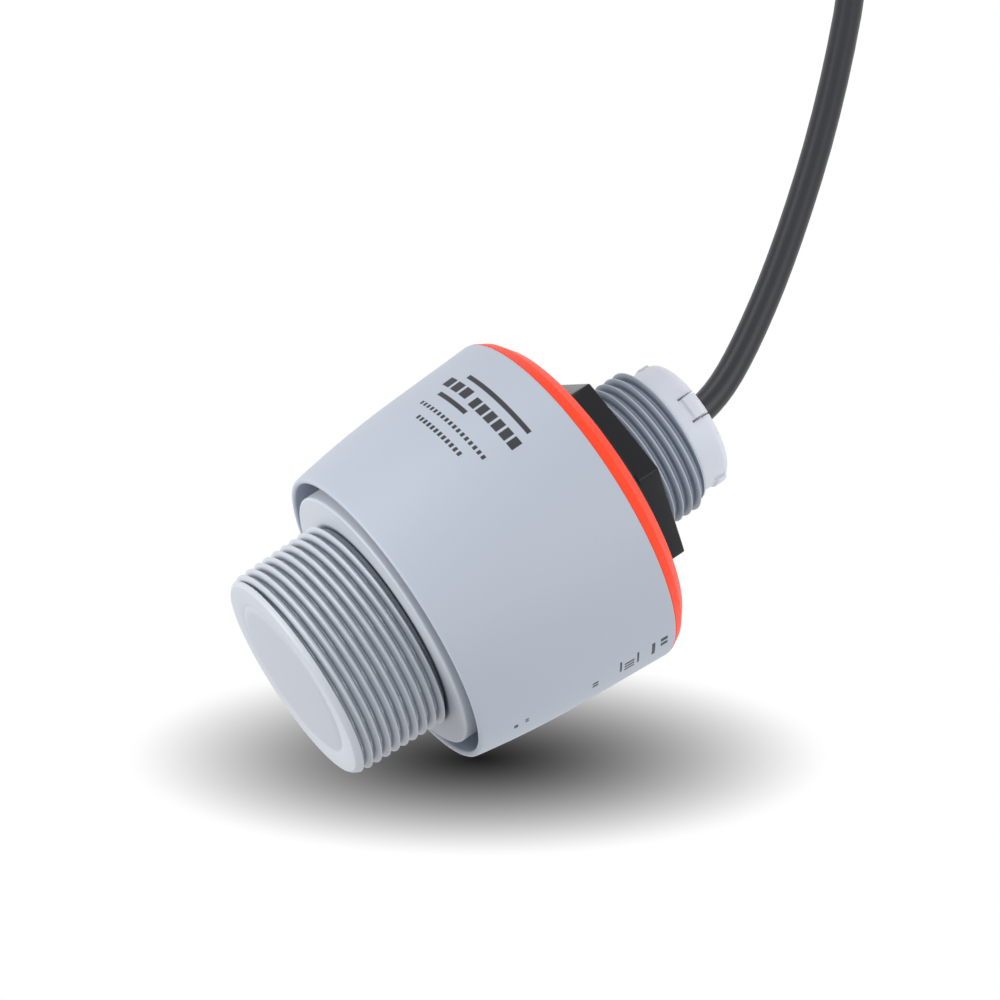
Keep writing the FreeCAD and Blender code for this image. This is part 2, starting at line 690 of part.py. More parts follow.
def capacitor():
    """Storage capacitor on the power board."""
    radius, height = CAPACITOR
    x = -(SOCKET[0] / 2.0 + BOARD_GAP + radius)
    can = cylinder(radius, height, (x, CAPACITOR_Y, parts_z))
    return can.makeFillet(radius / 8.0, [can.Edges[0]])


def stadium(radius, low_z, high_z):
    """Solid with two round ends and straight sides, as wide as the radius says."""
    height = high_z - low_z
    ends = [cylinder(radius, height, (0, y, low_z)) for y in (hank_near_y, hank_far_y)]
    middle = block(2 * radius, HANK_RUN, height, 0, HANK_CENTRE_Y, low_z)
    return middle.multiFuse(ends).removeSplitter()


def cable_hank():
    """Outer shape of the put-away cable: one thick oval ring lying on its ties."""
    return stadium(hank_outer_r, hank_low_z, hank_top_z).cut(stadium(hank_inner_r, hank_low_z, hank_top_z))


def hank_tie(angle):
    """Cable tie round the hank's section at its near end, with its head on top."""
    mid_r = (hank_outer_r + hank_inner_r) / 2.0
    width = hank_outer_r - hank_inner_r + 2 * TIE_THICKNESS
    band = block(width, TIE_WIDTH, hank_top_z + TIE_THICKNESS, mid_r, 0, 0)
    band = band.makeFillet(TIE_THICKNESS, [edge for edge in band.Edges if abs(edge.tangentAt(0).y) > 0.5])
    head = block(*TIE_HEAD, mid_r, 0, hank_top_z)
    tie = turned(band.fuse(head), angle)
    tie.translate(Vector(0, hank_near_y, 0))
    return tie.cut(cable_hank()).removeSplitter()


def tail_points():
    """Route of the cable's last stretch, lying on top of the hank."""
    points = []
    for angle in TAIL_ANGLES:
        x, y = around(turn_r, angle)
        points.append((x, hank_far_y + y, tail_z))
    points.append((turn_r - TAIL_END[0], hank_far_y + TAIL_END[1], tail_z))
    return points


def tail_frame():
    """End point of the jacket and the direction in which it ends."""
    points = tail_points()
    end = Vector(*points[-1])
    return end, (end - Vector(*points[-2])).normalize()


def tail_sleeve():
    """Shrunk sleeve over the end of the jacket."""
    end, along = tail_frame()
    start = end - along * TAIL_SLEEVE_LENGTH
    outside = Part.makeCylinder(cable_r + TAIL_SLEEVE_WALL, TAIL_SLEEVE_LENGTH, start, along)
    return outside.cut(Part.makeCylinder(cable_r, TAIL_SLEEVE_LENGTH, start, along))


def tail_core_line(index):
    """Start, direction and sideways order of one bared core; the cores fan out and come down."""
    end, along = tail_frame()
    sideways = Vector(0, 0, 1).cross(along)
    start = end + sideways * (index * CORE_SPACING) - Vector(0, 0, cable_r / 3.0)
    target = end + along * TAIL_CORE_LENGTH + sideways * (index * (CORE_SPACING + TAIL_CORE_FAN / 2.0))
    target.z = hank_top_z + CORE_R + 2 * FERRULE_WALL
    return start, (target - start).normalize()


def tail_core(index):
    """One bared core at the free end of the cable, from the cut face of the jacket."""
    start, along = tail_core_line(index)
    end, jacket = tail_frame()
    core = Part.makeCylinder(CORE_R, TAIL_CORE_LENGTH + CORE_R, start - along * CORE_R, along)
    return core.cut(Part.makeCylinder(CABLE_D, CABLE_D, end - jacket * CABLE_D, jacket))


def ferrule(index):
    """Crimped ferrule over the end of one core."""
    start, along = tail_core_line(index)
    base = start + along * (TAIL_CORE_LENGTH - FERRULE_LENGTH)
    length = FERRULE_LENGTH + FERRULE_WALL
    outside = Part.makeCylinder(CORE_R + SLIP + FERRULE_WALL, length, base, along)
    return outside.cut(Part.makeCylinder(CORE_R + SLIP, FERRULE_LENGTH, base, along))


def build_parts():
    """All pieces by node name."""
    parts = {
        "antenna_body": antenna_body(),
        "body_seal": body_seal(),
        "housing_skirt": housing_skirt(),
        "cover_gasket": cover_gasket(),
        "color_ring": color_ring(),
        "top_cover": top_cover(),
        "cover_seal": cover_seal(),
        "nut_washer": nut_washer(),
        "lock_nut": lock_nut(),
        "cable_collar": cable_collar(),
        "cable_seal": cable_seal(),
        "thrust_washer": thrust_washer(),
        "crimp_sleeve": crimp_sleeve(),
        "potting_plug": potting_plug(),
        "inner_core_brown": inner_core(-1),
        "inner_core_blue": inner_core(1),
        "cable_plug": cable_plug(),
        "board_socket": board_socket(),
        "radar_lens": radar_lens(),
        "horn": horn(),
        "absorber_ring": absorber_ring(),
        "radar_board": board(radar_board_r, radar_board_z),
        "radar_chip": radar_chip(),
        "shield_can": shield_can(),
        "board_header": board_header(),
        "power_board": board(power_board_r, power_board_z),
        "processor": processor(),
        "inductor": inductor(),
        "capacitor": capacitor(),
        "cable_tube": cord_tube(CABLE_ROUTE, "cable_tube"),
        "cable_hank": cable_hank(),
        "cable_tail": cord_tube(tail_points(), "cable_tail"),
        "tail_sleeve": tail_sleeve(),
    }
    for letter, angle in zip("ab", TIE_ANGLES):
        parts["hank_tie_" + letter] = hank_tie(angle)
    for letter, angle in zip("abc", post_angles()):
        parts["spacer_post_" + letter] = spacer_post(angle)
        parts["board_screw_" + letter] = board_screw(angle)
    for name, index in (("brown", -1), ("drain", 0), ("blue", 1)):
        parts["tail_core_" + name] = tail_core(index)
        parts["ferrule_" + name] = ferrule(index)
    return parts


def main():
    """Write every piece to its own file."""
    os.makedirs("parts", exist_ok=True)
    for name, shape in build_parts().items():
        shape.exportStep("parts/" + name + ".step")


main()
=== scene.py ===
"""Looks of the compact radar level sensor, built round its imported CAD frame."""

import json
import logging
import math
from dataclasses import dataclass, field
from enum import Enum
from typing import Callable, Optional, Sequence

import bpy
from mathutils import Matrix, Vector


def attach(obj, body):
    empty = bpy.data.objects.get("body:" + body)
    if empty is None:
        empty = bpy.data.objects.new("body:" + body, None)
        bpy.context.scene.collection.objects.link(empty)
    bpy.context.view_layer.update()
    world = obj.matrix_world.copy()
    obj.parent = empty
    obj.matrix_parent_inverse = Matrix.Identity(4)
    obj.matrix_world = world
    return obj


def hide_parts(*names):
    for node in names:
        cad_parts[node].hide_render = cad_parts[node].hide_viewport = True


log = logging.getLogger("radar_sensor")
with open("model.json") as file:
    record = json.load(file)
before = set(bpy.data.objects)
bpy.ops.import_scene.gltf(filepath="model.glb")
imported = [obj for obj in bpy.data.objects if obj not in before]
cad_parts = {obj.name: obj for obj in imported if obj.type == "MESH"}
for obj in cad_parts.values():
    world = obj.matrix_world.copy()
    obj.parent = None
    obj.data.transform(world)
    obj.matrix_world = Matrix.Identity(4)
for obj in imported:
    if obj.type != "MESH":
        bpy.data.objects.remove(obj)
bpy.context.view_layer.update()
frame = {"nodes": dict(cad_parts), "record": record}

MM = 0.001
Point2 = tuple[float, float]
Point3 = tuple[float, float, float]
Warp = Callable[[float, float, float], float]

# Heights of the stack, in millimetres above the antenna face
RIM_Z = 0.6
THREAD_END_Z = 21.7
SHOULDER_Z = 22.8
WEB_Z = 32.1
BARREL_TOP_Z = 44.6
LIP_Z = 23.7
GASKET_Z = 69.8
SKIRT_TOP_Z = 70.2
RING_TOP_Z = 74.7
SEAT_Z = 77.4
NUT_Z = 78.7
NUT_TOP_Z = 84.0
NECK_TOP_Z = 95.8

# Radii, in millimetres
PROCESS_CREST_R = 23.694
PROCESS_TAPER = 1.0 / 32.0
SHOULDER_R = 29.85
NECK_R = 16.6245

CABLE_D = 6.3

# Play of the nut and washer on the neck, and least difference that counts, in millimetres
PLAY = 0.05
TOUCH = 0.001

# Turn from one corner of the nut to the next, in radians
SIDE_TURN = math.pi / 3.0

# Largest angle that is shaded smooth, on the threaded mouldings and on the CAD forms, in degrees
THREAD_SMOOTH = 50.0
CAD_SMOOTH = 30.0

# Surface: scale and detail of the colour's drift, detail of the grain, and how far it spreads roughness
DRIFT_SCALE = 45.0
DRIFT_DETAIL = 3.0
GRAIN_DETAIL = 2.0
ROUGHNESS_SPREAD = 0.12

# Painted shade in narrow gaps: how far their walls are felt, in millimetres, and how much more closed they
# are when the painted shade is full
GAP_REACH = 2.0
GAP_FADE = 0.3

# Plastic: refraction, and how deep light goes into it, in millimetres
PLASTIC_IOR = 1.5
GLOW_DEPTH = 2.5

# Painted shade on the disc of the antenna face: soft border in millimetres, shade colour and its share
DISC_BORDER = (15.5, 18.5)
DISC_SHADE_COLOR = (176, 182, 192)
DISC_SHADE_SHARE = 0.8

# Print: colour and softness of its borders, in degrees and in millimetres
INK_COLOR = (34, 36, 42)
INK_SOFT_ANGLE = 0.15
INK_SOFT = 0.08

# Stage
WHITE = (1.0, 1.0, 1.0, 1.0)
FLOOR_COLOR = (0.9, 0.9, 0.9, 1.0)
DISPLAY_GAMMA = 2.2


class Slot(str, Enum):
    """Material slots of the record."""

    ANTENNA = "antenna_plastic"
    SHELL = "shell_plastic"
    RING = "ring_orange"
    NUT = "nut_plastic"
    COLLAR = "collar_plastic"
    RUBBER = "seal_rubber"
    CABLE = "cable_jacket"
    STEEL = "steel"
    RESIN = "resin"
    CORE_BROWN = "core_brown"
    CORE_BLUE = "core_blue"
    WIRE = "tinned_wire"
    FERRULE = "ferrule_tin"
    LENS = "lens_plastic"
    HORN = "horn_metal"
    ABSORBER = "absorber_foam"
    BOARD = "board"
    CHIP = "chip"
    CONNECTOR = "connector_plastic"
    TIE = "tie_plastic"


class Body(str, Enum):
    """Rigid bodies of the frame."""

    HOUSING = "housing"
    WASHER = "washer"
    NUT = "nut"


def linear(red: int, green: int, blue: int) -> tuple[float, float, float, float]:
    """Linear colour of a display colour.

    Args:
        red, green, blue: channels from 0 to 255.

    Returns:
        Colour as Blender's sockets take it.
    """
    channels = []
    for value in (red, green, blue):
        share = value / 255.0
        channels.append(share / 12.92 if share <= 0.04045 else ((share + 0.055) / 1.055) ** 2.4)
    return channels[0], channels[1], channels[2], 1.0


@dataclass(frozen=True)
class Finish:
    """How one material slot looks.

    Args:
        color: display colour, 0 to 255.
        roughness: middle of the roughness.
        metallic: 1 for bare metal.
        grain: size of the surface's fine texture in millimetres.
        bump: height of that texture in millimetres.
        mottle: how far the colour drifts, 0 to 1.
        shade: how much painted shade darkens narrow gaps, 0 to 1.
        shade_from: how closed a gap is where its painted shade starts, 0 to 1.
        gap_shade_color: display colour of the painted shade that narrow gaps fade to.
        edge: radius of softened edges in millimetres.
        glow: share of light that goes through the material below its surface.
        gloss: strength of the surface's reflections, 0.5 for common plastic.
        lift: painted glow, light that the material gives off in its own colour though it is no lamp.
    """

    color: tuple[int, int, int]
    roughness: float = 0.5
    metallic: float = 0.0
    grain: float = 0.25
    bump: float = 0.004
    mottle: float = 0.03
    shade: float = 0.0
    shade_from: float = 0.38
    gap_shade_color: tuple[int, int, int] = (90, 98, 118)
    edge: float = 0.0
    glow: float = 0.0
    gloss: float = 0.5
    lift: float = 0.0


FINISHES: dict[Slot, Finish] = {
    # Painted shade darkens the narrow gaps of the antenna and the shell
    Slot.ANTENNA: Finish((193, 198, 207), 0.48, shade=0.95, shade_from=0.37, gap_shade_color=(56, 69, 87)),
    Slot.SHELL: Finish((180, 188, 201), 0.48, shade=0.95, shade_from=0.24, gap_shade_color=(64, 78, 96),
                       bump=0.003),
    # Painted glow brightens the orange ring
    Slot.RING: Finish((255, 62, 26), 0.45, mottle=0.02, gloss=0.3, lift=0.14),
    Slot.NUT: Finish((12, 13, 20), 0.27, grain=0.5, bump=0.01, edge=0.3, gloss=0.3),
    Slot.COLLAR: Finish((214, 218, 228), 0.45, edge=0.35, glow=0.7),
    Slot.RUBBER: Finish((34, 34, 37), 0.65, bump=0.008),
    Slot.CABLE: Finish((16, 18, 27), 0.36, grain=0.6, bump=0.01, mottle=0.1, gloss=0.55),
    Slot.STEEL: Finish((186, 187, 190), 0.30, metallic=1.0, edge=0.1),
    Slot.RESIN: Finish((52, 46, 42), 0.25),
    Slot.CORE_BROWN: Finish((104, 62, 36), 0.40),
    Slot.CORE_BLUE: Finish((44, 84, 170), 0.40),
    Slot.WIRE: Finish((198, 192, 184), 0.35, metallic=1.0, grain=0.35, bump=0.06),
    Slot.FERRULE: Finish((204, 204, 206), 0.28, metallic=1.0, edge=0.1),
    Slot.LENS: Finish((236, 236, 234), 0.45, glow=0.2),
    Slot.HORN: Finish((192, 192, 196), 0.30, metallic=1.0),
    Slot.ABSORBER: Finish((44, 44, 47), 0.85, grain=0.8, bump=0.15),
    Slot.BOARD: Finish((34, 92, 56), 0.35),
    Slot.CHIP: Finish((30, 30, 33), 0.50, edge=0.1),
    Slot.CONNECTOR: Finish((222, 218, 202), 0.45, edge=0.2),
    Slot.TIE: Finish((26, 26, 29), 0.45, edge=0.15),
}


class NodeBoard:
    """Short way to place and join shader nodes."""

    def __init__(self, tree: bpy.types.NodeTree) -> None:
        """Args:
            tree: node tree to work in.
        """
        self.tree = tree

    def add(self, kind: str, **settings: object) -> bpy.types.Node:
        """Places a node.

        Args:
            kind: node type.
            settings: attributes of the node.

        Returns:
            The new node.
        """
        node = self.tree.nodes.new(kind)
        for name, value in settings.items():
            setattr(node, name, value)
        return node

    def feed(self, socket: bpy.types.NodeSocket, source: object) -> None:
        """Joins a socket to another one, or sets its value.

        Args:
            socket: input that is fed.
            source: output to join, or the value.
        """
        if isinstance(source, bpy.types.NodeSocket):
            self.tree.links.new(source, socket)
        else:
            socket.default_value = source

    def math(self, operation: str, *values: object, clamp: bool = False) -> bpy.types.NodeSocket:
        """Result of a math node.

        Args:
            operation: what the node does.
            values: up to three sockets or numbers.
            clamp: whether the result stays between 0 and 1.

        Returns:
            Socket of the result.
        """
        node = self.add("ShaderNodeMath", operation=operation, use_clamp=clamp)
        for socket, value in zip(node.inputs, values):
            self.feed(socket, value)
        return node.outputs[0]

    def mix(self, share: object, first: object, second: object) -> bpy.types.NodeSocket:
        """Colour between two colours.

        Args:
            share: how much of the second.
            first, second: the colours, or their sockets.

        Returns:
            Socket of the colour.
        """
        node = self.add("ShaderNodeMix", data_type="RGBA")
        self.feed(node.inputs[0], share)
        self.feed(node.inputs[6], first)
        self.feed(node.inputs[7], second)
        return node.outputs[2]

    def ramp(self, value: object, start: object, end: object, low: float = 0.0,
             high: float = 1.0) -> bpy.types.NodeSocket:
        """Smooth way between two results while a value goes from one limit to the other.

        Args:
            value: socket or number that is read.
            start, end: its limits.
            low, high: results at the limits.

        Returns:
            Socket of the result.
        """
        node = self.add("ShaderNodeMapRange", interpolation_type="SMOOTHSTEP")
        for socket, source in zip(node.inputs, (value, start, end, low, high)):
            self.feed(socket, source)
        return node.outputs[0]

    def between(self, value: object, low: float, high: float, soft: float) -> bpy.types.NodeSocket:
        """1 where a value lies between two limits, with soft borders."""
        return self.math("MULTIPLY", self.ramp(value, low - soft, low + soft),
                         self.ramp(value, high + soft, high - soft))

    def flat_length(self, vector: bpy.types.NodeSocket) -> bpy.types.NodeSocket:
        """Length of a vector's X and Y part."""
        parts = self.add("ShaderNodeSeparateXYZ")
        self.feed(parts.inputs[0], vector)
        squares = [self.math("MULTIPLY", parts.outputs[axis], parts.outputs[axis]) for axis in "XY"]
        return self.math("SQRT", self.math("ADD", *squares))


def moulded_group() -> bpy.types.NodeTree:
    """Node group of a moulded or worked surface: drifting colour, fine texture, painted shade in narrow
    gaps, soft edges.

    Returns:
        The group, with outputs Color, Roughness and Normal.
    """
    tree = bpy.data.node_groups.new("worked_surface_painted_gap_shade", "ShaderNodeTree")
    face = tree.interface
    for name in ("Color", "Gap Shade Color"):
        face.new_socket(name, in_out="INPUT", socket_type="NodeSocketColor")
    for name in ("Roughness", "Grain", "Bump", "Mottle", "Shade", "Shade From", "Edge"):
        face.new_socket(name, in_out="INPUT", socket_type="NodeSocketFloat")
    for name, kind in (("Color", "NodeSocketColor"), ("Roughness", "NodeSocketFloat"),
                       ("Normal", "NodeSocketVector")):
        face.new_socket(name, in_out="OUTPUT", socket_type=kind)
    board = NodeBoard(tree)
    given = board.add("NodeGroupInput").outputs
    out = board.add("NodeGroupOutput").inputs
    place = board.add("ShaderNodeTexCoord").outputs["Object"]

    drift = board.add("ShaderNodeTexNoise")
    board.feed(drift.inputs["Vector"], place)
    board.feed(drift.inputs["Scale"], DRIFT_SCALE)
    board.feed(drift.inputs["Detail"], DRIFT_DETAIL)
    drift_share = board.math("MULTIPLY", board.math("SUBTRACT", drift.outputs["Fac"], 0.5), given["Mottle"])
    scaled = board.add("ShaderNodeVectorMath", operation="SCALE")
    board.feed(scaled.inputs[0], given["Color"])
    board.feed(scaled.inputs["Scale"], board.math("ADD", drift_share, 1.0))

    # Painted shade: ambient occlusion darkens narrow gaps towards the gap shade colour
    gap = board.add("ShaderNodeAmbientOcclusion", samples=8, only_local=True)
    board.feed(gap.inputs["Distance"], GAP_REACH * MM)
    closed = board.ramp(board.math("SUBTRACT", 1.0, gap.outputs["AO"], clamp=True), given["Shade From"],
                        board.math("ADD", given["Shade From"], GAP_FADE))
    dark = board.math("MULTIPLY", closed, given["Shade"], clamp=True)
    board.feed(out["Color"], board.mix(dark, scaled.outputs[0], given["Gap Shade Color"]))

    fine = board.add("ShaderNodeTexNoise")
    board.feed(fine.inputs["Vector"], place)
    board.feed(fine.inputs["Scale"], board.math("DIVIDE", 1.0 / MM, given["Grain"]))
    board.feed(fine.inputs["Detail"], GRAIN_DETAIL)
    soft = board.add("ShaderNodeBevel", samples=4)
    board.feed(soft.inputs["Radius"], board.math("MULTIPLY", given["Edge"], MM))
    bump = board.add("ShaderNodeBump")
    board.feed(bump.inputs["Strength"], 1.0)
    board.feed(bump.inputs["Distance"], board.math("MULTIPLY", given["Bump"], MM))
    board.feed(bump.inputs["Height"], fine.outputs["Fac"])
    board.feed(bump.inputs["Normal"], soft.outputs[0])
    board.feed(out["Normal"], bump.outputs[0])
    spread = board.math("MULTIPLY", board.math("SUBTRACT", fine.outputs["Fac"], 0.5), ROUGHNESS_SPREAD)
    board.feed(out["Roughness"], board.math("ADD", given["Roughness"], spread, clamp=True))
    return tree


@dataclass(frozen=True)
class PrintMark:
    """A row of plain printed blocks on the shell, as fields of colour.

    Args:
        angle: middle of the row round the axis, in degrees.
        z: middle of the row, in millimetres.
        width: size round the axis, in degrees.
        height: size along the axis, in millimetres.
        blocks: number of blocks in the row.
        filled: part of each block's place that is printed.
    """

    angle: float
    z: float
    width: float
    height: float
    blocks: int = 1
    filled: float = 1.0


class Materials:
    """The material of each slot, made once."""

    def __init__(self) -> None:
        """Builds the shared node group and every slot's material."""
        self.group = moulded_group()
        self.made = {slot: self._make(slot, finish) for slot, finish in FINISHES.items()}

    def __getitem__(self, slot: Slot) -> bpy.types.Material:
        """Material of a slot."""
        return self.made[slot]

    def _make(self, slot: Slot, finish: Finish) -> bpy.types.Material:
        """Builds one slot's material.

        Args:
            slot: the slot, whose value names the material.
            finish: its look.

        Returns:
            The new material.
        """
        material = bpy.data.materials.new(slot.value)
        material.use_nodes = True
        board = NodeBoard(material.node_tree)
        shader = material.node_tree.nodes["Principled BSDF"]
        surface = board.add("ShaderNodeGroup", node_tree=self.group)
        values = {"Color": linear(*finish.color), "Gap Shade Color": linear(*finish.gap_shade_color),
                  "Roughness": finish.roughness, "Grain": finish.grain, "Bump": finish.bump,
                  "Mottle": finish.mottle, "Shade": finish.shade,
                  "Shade From": finish.shade_from, "Edge": finish.edge}
        for name, value in values.items():
            board.feed(surface.inputs[name], value)
        color = surface.outputs["Color"]
        if slot is Slot.SHELL:
            color = self._printed(board, color)
        # Painted shade on the disc of the antenna face
        if slot is Slot.ANTENNA:
            color = self._painted_disc_shade(board, color)
        looks = {"Base Color": color, "Roughness": surface.outputs["Roughness"],
                 "Normal": surface.outputs["Normal"], "Metallic": finish.metallic, "IOR": PLASTIC_IOR,
                 "Specular IOR Level": finish.gloss}
        # Painted glow: emission in the material's own colour brightens it though it is no lamp
        if finish.lift:
            looks.update({"Emission Color": linear(*finish.color), "Emission Strength": finish.lift})
        if finish.glow:
            looks.update({"Subsurface Weight": finish.glow, "Subsurface Radius": (1.0, 1.0, 1.0),
                          "Subsurface Scale": GLOW_DEPTH * MM})
        for name, value in looks.items():
            board.feed(shader.inputs[name], value)
        return material

    def _painted_disc_shade(self, board: NodeBoard, color: bpy.types.NodeSocket) -> bpy.types.NodeSocket:
        """Paints shade on the disc of the face, so that it is darker than the rim, with a soft border.

        Args:
            board: board of the antenna's material.
            color: colour all over.

        Returns:
            The colour with the painted shade on the disc.
        """
        place = board.add("ShaderNodeTexCoord").outputs["Object"]
        inside, outside = (limit * MM for limit in DISC_BORDER)
        share = board.ramp(board.flat_length(place), inside, outside, DISC_SHADE_SHARE, 0.0)
        return board.mix(share, color, linear(*DISC_SHADE_COLOR))

    def _printed(self, board: NodeBoard, color: bpy.types.NodeSocket) -> bpy.types.NodeSocket:
        """Adds the printed marks to the shell's colour.

        Args:
            board: board of the shell's material.
            color: colour below the print.

        Returns:
            The colour with the print.
        """
        place = board.add("ShaderNodeSeparateXYZ")
        board.feed(place.inputs[0], board.add("ShaderNodeTexCoord").outputs["Object"])
        turn = board.math("ARCTAN2", place.outputs["Y"], place.outputs["X"])
        around = board.math("WRAP", board.math("MULTIPLY", turn, 180.0 / math.pi), 360.0, 0.0)
        height = board.math("DIVIDE", place.outputs["Z"], MM)
        ink = 0.0
        for mark in PRINT_MARKS:
            start = mark.angle - mark.width / 2
            across = board.between(around, start, start + mark.width, INK_SOFT_ANGLE)
            if mark.blocks > 1:
                step = mark.width / mark.blocks
                place_in = board.math("WRAP", board.math("SUBTRACT", around, start), step, 0.0)
                block = board.between(place_in, 0.0, step * mark.filled, INK_SOFT_ANGLE)
                across = board.math("MULTIPLY", across, block)
            along = board.between(height, mark.z - mark.height / 2, mark.z + mark.height / 2, INK_SOFT)
            ink = board.math("MAXIMUM", ink, board.math("MULTIPLY", across, along))
        return board.mix(ink, color, linear(*INK_COLOR))


PRINT_MARKS: tuple[PrintMark, ...] = (
    PrintMark(138.5, 61.6, 34.0, 1.1),
    PrintMark(123.5, 58.3, 16.0, 2.6, 3, 0.78),
    PrintMark(127.5, 54.9, 16.5, 1.1),
    PrintMark(145.5, 57.8, 25.0, 2.6, 6, 0.78),
    PrintMark(136.0, 51.1, 38.0, 1.0, 17, 0.6),
    PrintMark(136.0, 47.9, 26.0, 1.1, 12, 0.62),
    PrintMark(246.5, 67.2, 6.0, 1.7, 2, 0.7),
    PrintMark(247.5, 64.6, 8.0, 0.8),
    PrintMark(247.0, 60.8, 7.0, 0.5),
    PrintMark(247.0, 56.6, 7.0, 0.5),
    PrintMark(249.0, 58.7, 6.0, 2.4, 3, 0.6),
    PrintMark(249.0, 50.4, 4.0, 1.4, 2, 0.7),
    PrintMark(248.0, 34.2, 3.0, 0.8, 2, 0.7),
    PrintMark(248.6, 31.7, 2.4, 0.9),
)


def put(obj: bpy.types.Object, slot: Slot, body: Body, *nodes: str) -> bpy.types.Object:
    """Gives a piece its finish and body, and hides the CAD nodes that it stands for.

    Args:
        obj: the piece, in place.
        slot: its material slot.
        body: body it moves with.
        nodes: CAD nodes that it replaces.

    Returns:
        The piece.
    """
    obj.data.materials.clear()
    obj.data.materials.append(MATERIALS[slot])
    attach(obj, body.value)
    if nodes:
        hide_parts(*nodes)
    return obj


def select_only(obj: bpy.types.Object) -> None:
    """Makes one object the only selected and active one."""
    bpy.ops.object.select_all(action="DESELECT")
    obj.select_set(True)
    bpy.context.view_layer.objects.active = obj


@dataclass(frozen=True)
class Corner:
    """Corner of an outline.

    Args:
        r: radius from the axis, in millimetres.
        z: height, in millimetres.
        round: radius of its rounding, 0 for a sharp corner.
    """

    r: float
    z: float
    round: float = 0.0


def outline(corners: Sequence[Corner], steps: int = 6) -> list[Point2]:
    """Closed outline with its corners rounded by tangent arcs.

    Args:
        corners: corners in order.
        steps: points per rounding, less one.

    Returns:
        Points of the outline, as radius and height.
    """
    points: list[Point2] = []
    count = len(corners)
    for index, corner in enumerate(corners):
        here = Vector((corner.r, corner.z))
        before = Vector((corners[index - 1].r, corners[index - 1].z)) - here
        after = Vector((corners[(index + 1) % count].r, corners[(index + 1) % count].z)) - here
        if corner.round <= 0.0:
            points.append((here.x, here.y))
            continue
        before.normalize()
        after.normalize()
        half = before.angle(after) / 2.0
        middle = here + (before + after).normalized() * (corner.round / math.sin(half))
        start = here + before * (corner.round / math.tan(half)) - middle
        end = here + after * (corner.round / math.tan(half)) - middle
        sweep = start.angle_signed(end)
        for step in range(steps + 1):
            turned = start.copy()
            turned.rotate(Matrix.Rotation(-sweep * step / steps, 2))
            points.append((middle.x + turned.x, middle.y + turned.y))
    return points


def start_piece(name: str, add: Callable[..., object], **sizes: object) -> bpy.types.Object:
    """Adds a primitive as the start of a piece or a card of the stage.

    Args:
        name: its name.
        add: operator that adds the primitive.
        sizes: settings of the operator.

    Returns:
        The new object, the only one selected.
    """
    bpy.ops.object.select_all(action="DESELECT")
    add(**sizes)
    obj = bpy.context.object
    obj.name = name
    obj.data.name = name
    return obj


@dataclass
class Lathe:
    """Closed body of revolution about Z.

    Args:
        name: object name.
        profile: closed outline, as radius and height in millimetres.
        segments: steps round the axis.
        warp: gives each point's own radius from its radius, height and angle.
        smooth: largest angle between faces that is shaded smooth, in degrees.
    """

    name: str
    profile: Sequence[Point2]
    segments: int = 256
    warp: Optional[Warp] = None
    smooth: float = 35.0

    def build(self) -> bpy.types.Object:
        """Spins the outline round the axis and presses the warp into it.

        Returns:
            The new object, with outward normals.
        """
        obj = start_piece(self.name, bpy.ops.mesh.primitive_circle_add, vertices=len(self.profile),
                          calc_uvs=False)
        for point, (radius, height) in zip(obj.data.vertices, self.profile):
            point.co = (radius * MM, 0.0, height * MM)
        bpy.ops.object.mode_set(mode="EDIT")
        bpy.ops.mesh.select_all(action="SELECT")
        bpy.ops.mesh.spin(steps=self.segments, angle=2.0 * math.pi, center=(0.0, 0.0, 0.0),
                          axis=(0.0, 0.0, 1.0))
        bpy.ops.mesh.select_all(action="SELECT")
        bpy.ops.mesh.remove_doubles(threshold=TOUCH * MM)
        bpy.ops.mesh.delete_loose(use_verts=False, use_edges=True, use_faces=False)
        bpy.ops.mesh.select_all(action="SELECT")
        bpy.ops.mesh.normals_make_consistent(inside=False)
        bpy.ops.object.mode_set(mode="OBJECT")
        if self.warp:
            self._press(obj.data)
        bpy.ops.object.shade_smooth_by_angle(angle=math.radians(self.smooth))
        return obj

    def _press(self, mesh: bpy.types.Mesh) -> None:
        """Moves each point to its own radius.

        Args:
            mesh: the spun mesh.
        """
        for point in mesh.vertices:
            x, y, z = point.co / MM
            radius = math.hypot(x, y)
            if radius > TOUCH:
                share = self.warp(radius, z, math.atan2(y, x)) / radius
                point.co = (x * share * MM, y * share * MM, z * MM)
        mesh.update()


def smoothstep(value: float) -> float:
    """Smooth rise from 0 to 1."""
    share = min(max(value, 0.0), 1.0)
    return share * share * (3.0 - 2.0 * share)


